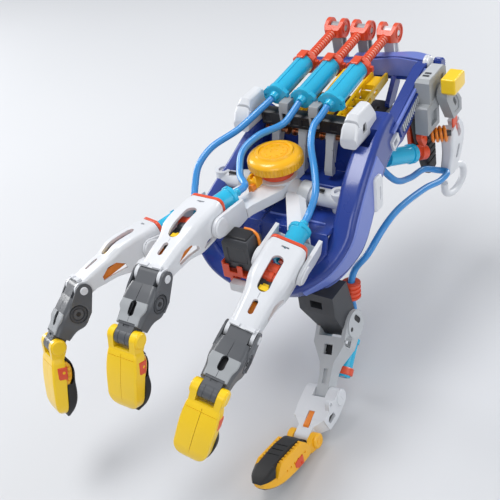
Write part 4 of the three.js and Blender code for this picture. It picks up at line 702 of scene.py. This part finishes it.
# ------------------------------------------------------------------ wrist end
rbp = [(-41, 128.4, 5, 4.0, 6), (-20, 129.8, 6, 4.0, 6.2), (0, 130.6, 7.4, 4.0, 7), (18, 130.6, 9.4, 4.0, 8.6), (34, 130.6, 11.4, 4.2, 9.6), (46, 129.6, 12.6, 5.6, 9.2), (57.6, 127.0, 12.8, 5.0, 9.2)]
rb = limb(rbp, 44, 2.4, side=(0, 1, 0))
for x0 in (-21.5, 0, 21.5):
    for q in (-1, 1):
        rb = csg(rb, ("+", hull(cylX(4.4, x0 + q * 5.8 - 1.4, x0 + q * 5.8 + 1.4, 145.8, -0.85, 36), box(x0 + q * 5.8 - 1.4, x0 + q * 5.8 + 1.4, 130, 134, 0, 8))))
    rb = csg(rb, ("+", cylX(2, x0 - 6, x0 + 6, 145.8, -0.85, 28)))
for q in (-30.8, 30.8):
    rb = csg(rb, ("+", hull(box(q - 1.8, q + 1.8, 127, 132, -2, 6), box(q - 1.8, q + 1.8, 112, 121, -13.2, -10))))
put("rear_beam_body", rb, "navy", "palm", ("rear_beam",), 0.6, 3)
# lighter blue strips on the top and the upper front face of the rear beam: painted highlight where light falls from
# above
put("rear_beam_top_highlight", limb([(p[0], p[1] - 0.4, p[2], p[3] - 0.9, 0.7) for p in rbp[2:]], 30, 0.6, side=(0, 1, 0), off=(0, -9.3)), "lav", "palm", (), 0)
put("rear_beam_front_highlight", limb([(p[0], p[1] - p[3] - 0.1, p[2] + p[4] * 0.16, 0.55, p[4] * 0.74) for p in rbp[1:]], 30, 0.5, side=(0, 1, 0)), "lav", "palm", (), 0)
put("rear_button", U(cylX(5.6, 56.6, 58.6, 124.6, 19.4, 48), hull(cylX(5.0, 58.6, 60.2, 124.6, 19.4, 48), cylX(4.0, 60.2, 60.9, 124.6, 19.4, 48))), "white", "palm", (), 0.3)
kn = []
for k in range(72):
    a = 2 * math.pi * k / 72; kn.append((5.0 + 0.45 * math.cos(18 * a), a))
rings = [np.array([(q, 132.6 + r_ * f_ * math.cos(a), 14.6 + r_ * f_ * math.sin(a)) for r_, a in kn]) for q, f_ in ((60.2, 0.94), (60.8, 1.0), (65.4, 1.0), (66.2, 0.9))]
put("rear_adjuster", loft(rings), "navy", "palm", (), 0)
s = csg(hull(box(62.4, 72, 90, 110, -18, 2), box(63, 71.4, 91, 109, -19, 3)), ("+", hull(box(60.8, 71.6, 96, 125, 1, 18.4), box(61.6, 71, 98, 123, 0, 20.4))), ("-", box(69.6, 76, 96, 106, -14, -4)), ("-", hull(box(70.6, 76, 101, 119, 5, 15), box(70.9, 76, 100, 120, 4, 16))))
put("lever_housing_body", s, "mgrey", "palm", ("lever_housing",), 0.9, 3)
put("lever_housing_rib", hull(box(62.2, 70.6, 98.6, 99.4, 19.6, 20.8), box(62.2, 70.6, 121.8, 122.6, 19.6, 20.8)), "lgrey", "palm", (), 0.4)
put("lever_housing_notch", U(box(64, 68.6, 102, 104, 20.2, 21.2), box(64, 68.6, 106, 108, 20.2, 21.2)), "dark", "palm", (), 0.2)
put("lever_housing_screw", csg(cylX(2.2, 68.2, 69.4, 101, -9, 28), ("-", box(68.9, 71, 99.4, 102.6, -9.3, -8.7))), "steel", "palm", (), 0.15)
s = csg(hull(cylX(7, 72.5, 80, 112, 5, 40), box(73, 80, 117, 131.5, -17.6, -8.6)), ("-", hull(box(79.4, 84, 112, 118, -1, 4), box(79.4, 84, 119, 127, -14, -8))), ("-", hull(cylX(1.6, 70, 84, 119, -3), cylX(1.6, 70, 84, 122, -8))))
put("thumb_lever_arm", s, "mgrey", "thumb_lever_body", ("thumb_lever",), 0.6, 2)
put("thumb_lever_paddle", hull(box(76, 85, 107, 126, 6, 15), box(76.6, 87, 103, 120, 9, 19.6), box(78, 84, 110, 122, 4.6, 8)), "lemon", "thumb_lever_body", (), 1.0, 3)
br = csg(limb([(73.4, 126.6, -28.4, 4.2, 8.2), (74.0, 128, -34, 4.6, 11.0), (73.6, 127.6, -50, 4.4, 10.6), (71.8, 121, -67, 3.8, 6.6)], 26, 2.2), ("-", hull(cylX(2.6, 66, 80, 128, -30), cylX(2.6, 66, 80, 129.6, -36))), ("-", hull(cylX(2.0, 66, 80, 128.6, -47), cylX(2.0, 66, 80, 126.6, -54))))
put("thumb_bracket_body", br, "white", "palm", ("thumb_bracket",), 0.5, 3)
put("thumb_bracket_pad", hull(box(75.6, 77.0, 124.6, 130, -34, -24), box(75.6, 76.4, 123, 131.4, -36, -22)), "red", "palm", (), 0.3)
put("wrist_ring", tube([[71, 119, -66], [72, 124, -68], [73, 138, -69], [74, 146, -75], [74, 146, -84], [73, 136, -89], [72, 124, -87], [71, 118, -82], [71, 117, -74]], 2.8, 16, 1.6), "white", "palm", (), 0)
gp = csg(limb([(57, 110, -12, 4, 10), (57.6, 113, -28, 4, 11), (58, 116, -44, 4, 10), (58, 120, -64, 4, 6.4)], 30, 2.6), ("-", rod_to([59.4, 96.7, -37.8], [63.6, 109, -42.9], 6.8)), *[("-", box(60.6, 64, 100, 130, -20 - 5 * q, -18.4 - 5 * q)) for q in range(8)])
put("grip_pad_body", gp, "rubber", "palm", ("grip_pad",), 0.4, 2)
put("wrist_latch", csg(hull(cylX(4.4, 61.6, 65.4, 96.6, -22.6, 36), cylX(3.4, 61.6, 65.4, 99.0, -28.6, 36)), ("-", cylX(1.6, 64.6, 70, 96.6, -22.6))), "red", "palm", (), 0.4)
put("wrist_link", hull(cylX(4.6, 49.4, 52.8, 106, -16), cylX(4.4, 49.4, 52.8, 108, -44), cylX(3.4, 49.4, 52.8, 116, -30)), "red", "palm", (), 0.5)
hp_ = []
for k in range(4 * 24 + 1):
    a = k / 24 * 2 * math.pi; t_ = k / 96
    hp_.append([65 + 11 * t_ - 2.1 * math.cos(a), 109 + 5 * t_ + 4.6 * math.cos(a), -28.6 + 5 * math.sin(a)])
put("return_spring_coil", tube(hp_, 1.15, 12, 0), "orange", "palm", ("return_spring",), 0)
put("spring_seat", rod_to([63.2, 108.6, -28.6], [78.2, 115.4, -28.6], 2.2, 2.2, 24), "dark", "palm", (), 0.2)
s = csg(rod_to([50, 66, -26], [58, 92, -36], 6.4, n=48), ("+", rod_to([49, 62, -24.5], [50.1, 66.3, -26.1], 3)), ("+", rod_to([56.9, 88.4, -34.6], [58, 92, -36], 7.2, n=48)), ("-", rod_to([52, 72.5, -28.5], [58.4, 93.3, -36.5], 4.2)))
put("thumb_master_barrel", s, "cyan", "palm", ("thumb_master_cylinder",), 0.3)
put("thumb_master_rod", U(rod_to([56.5, 87.4, -34.4], [61, 101, -39.5], 3.0), rod_to([60, 98.5, -38.5], [62, 104, -40.8], 5.6)), "red", "thumb_plunger_body", ("thumb_plunger",), 0.4)
put("thumb_master_seal", rod_to([53.4, 77, -30.2], [55.4, 83.8, -32.9], 3.8), "black", "palm", (), 0.3)

# ------------------------------------------------------------------ hoses
H = [[[-21.5, 43.4, 22.2], [-24, 38, 20], [-34.6, 17.6, 10.5], [-46.5, -1.6, 4.3], [-50.1, -14.2, -3.3], [-48.5, -24, -13], rear_ends[0][1], rear_ends[0][0]],
     [[0, 43.4, 22.2], [-1.5, 37, 18.5], [-4.2, 27.8, 14], [-15.5, 11.5, 11.5], [-20.5, -1.4, 6], [-14, -17, -1.5], rear_ends[1][1], rear_ends[1][0]],
     [[21.5, 43.4, 22.2], [20.5, 36, 19], [19, 28.5, 16], [22.3, 16.5, 9], [30.6, 3.6, -2.5], [37.5, -9.7, -10], rear_ends[2][1], rear_ends[2][0]],
     [[48.6, 60.6, -24], [50, 56, -25], [58, 62, -40], [60, 82, -50], [62.5, 101.7, -54], [68, 112, -60], [75.5, 112, -60], [75.6, 100, -60], [71.7, 81.3, -56], [67.4, 44.1, -51.5], [66.5, 22, -53], [62, 6, -64], [53, 3, -77], [51.5, -2, -86], [51.5, -3, -96], [51.3, -2.2, -104], [51, -1.6, -112], [51.3, -4, -120.5], TN]]
for i, P in enumerate(H):
    c = (catmull(P, 2.2) - ORG) / 1000
    cu = bpy.data.curves.new(f"hose{i + 1}_line", "CURVE"); cu.dimensions = "3D"; cu.bevel_depth = 0.0024; cu.bevel_resolution = 6; cu.use_fill_caps = True
    sp = cu.splines.new("POLY"); sp.points.add(len(c) - 1)
    for q, p in zip(sp.points, c):
        q.co = (*p, 1)
    sp.use_smooth = True
    o = bpy.data.objects.new(f"hose{i + 1}_tube", cu); bpy.context.scene.collection.objects.link(o)
    cu.materials.append(MAT["hose"])
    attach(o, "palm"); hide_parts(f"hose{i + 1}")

# ------------------------------------------------------------------ stage, camera, lights
R_ = np.array([0.83808447, 0.52314761, -0.15469648]); U_ = np.array([-0.20742188, 0.56784075, 0.79657582]); F_ = np.array([-0.5045697, 0.63551039, -0.58441078])
C_ = (np.array([300.786, -418.357, 304.413]) - ORG) / 1000
cam = bpy.data.cameras.new("cam"); co = bpy.data.objects.new("camera", cam); bpy.context.scene.collection.objects.link(co)
co.matrix_world = Matrix([[R_[0], U_[0], -F_[0], C_[0]], [R_[1], U_[1], -F_[1], C_[1]], [R_[2], U_[2], -F_[2], C_[2]], [0, 0, 0, 1]])
cam.sensor_width = 36; cam.lens = 36 * 901.67 / 500; cam.clip_start = 0.01
bpy.context.scene.camera = co

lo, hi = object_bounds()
bpy.ops.mesh.primitive_plane_add(size=1, location=(0, 0, 0))
fl = bpy.context.object; fl.name = "floor"
me = fl.data
zf = lo[2] - 0.0005
X0 = Vector((0, -0.08, zf))
n = 48; bm = bmesh.new(); bm.from_mesh(me); bmesh.ops.delete(bm, geom=list(bm.verts), context="VERTS")
vs = [bm.verts.new((X0.x + 4.0 * math.cos(2 * math.pi * k / n), X0.y + 4.0 * math.sin(2 * math.pi * k / n), zf)) for k in range(n)]
bm.faces.new(vs); bm.to_mesh(me); bm.free()
fm, nt, bs = nodes_of("pale_floor")
tc = nt.nodes.new("ShaderNodeTexCoord"); nz = nt.nodes.new("ShaderNodeTexNoise"); nz.inputs["Scale"].default_value = 3.0
cr = nt.nodes.new("ShaderNodeValToRGB"); cr.color_ramp.elements[0].color = (0.60, 0.61, 0.63, 1); cr.color_ramp.elements[1].color = (0.64, 0.65, 0.67, 1)
nt.links.new(tc.outputs["Object"], nz.inputs["Vector"]); nt.links.new(nz.outputs["Fac"], cr.inputs["Fac"]); nt.links.new(cr.outputs["Color"], bs.inputs["Base Color"])
bs.inputs["Roughness"].default_value = 0.85
me.materials.clear(); me.materials.append(fm)

def area(name, loc, target, size, power, col=(1, 1, 1)):
    l = bpy.data.lights.new(name, "AREA"); l.shape = "RECTANGLE"; l.size = size[0]; l.size_y = size[1]; l.energy = power; l.color = col
    o = bpy.data.objects.new(name, l); bpy.context.scene.collection.objects.link(o)
    o.location = loc; o.rotation_euler = (Vector(target) - Vector(loc)).to_track_quat("-Z", "Y").to_euler()
    return o
T0 = (0, -0.10, 0.0)
Rv, Uv, Bv = Vector(R_), Vector(U_), Vector(-F_)
def from_cam(a, b, c):
    v = Vector(T0) + Rv * a + Uv * b + Bv * c
    v.z = max(v.z, 0.34)
    return tuple(v)
area("key", from_cam(-0.55, 0.95, 0.55), T0, (0.7, 0.5), 10.5)
area("fill", from_cam(0.9, 0.1, 0.8), T0, (0.8, 0.8), 3.6, (0.96, 0.98, 1))
area("front", from_cam(-0.2, -0.1, 1.1), T0, (0.6, 0.4), 2.4)
area("rim_l", from_cam(-0.9, 0.5, -0.5), T0, (0.3, 0.8), 6)
area("rim_r", from_cam(0.85, 0.7, -0.5), T0, (0.3, 0.8), 6)
w = bpy.data.worlds.new("studio"); bpy.context.scene.world = w; w.use_nodes = True
bg = w.node_tree.nodes["Background"]; bg.inputs["Color"].default_value = (0.86, 0.89, 0.94, 1); bg.inputs["Strength"].default_value = 0.40
try:
    bpy.context.scene.view_settings.view_transform = "Standard"
except Exception:
    pass
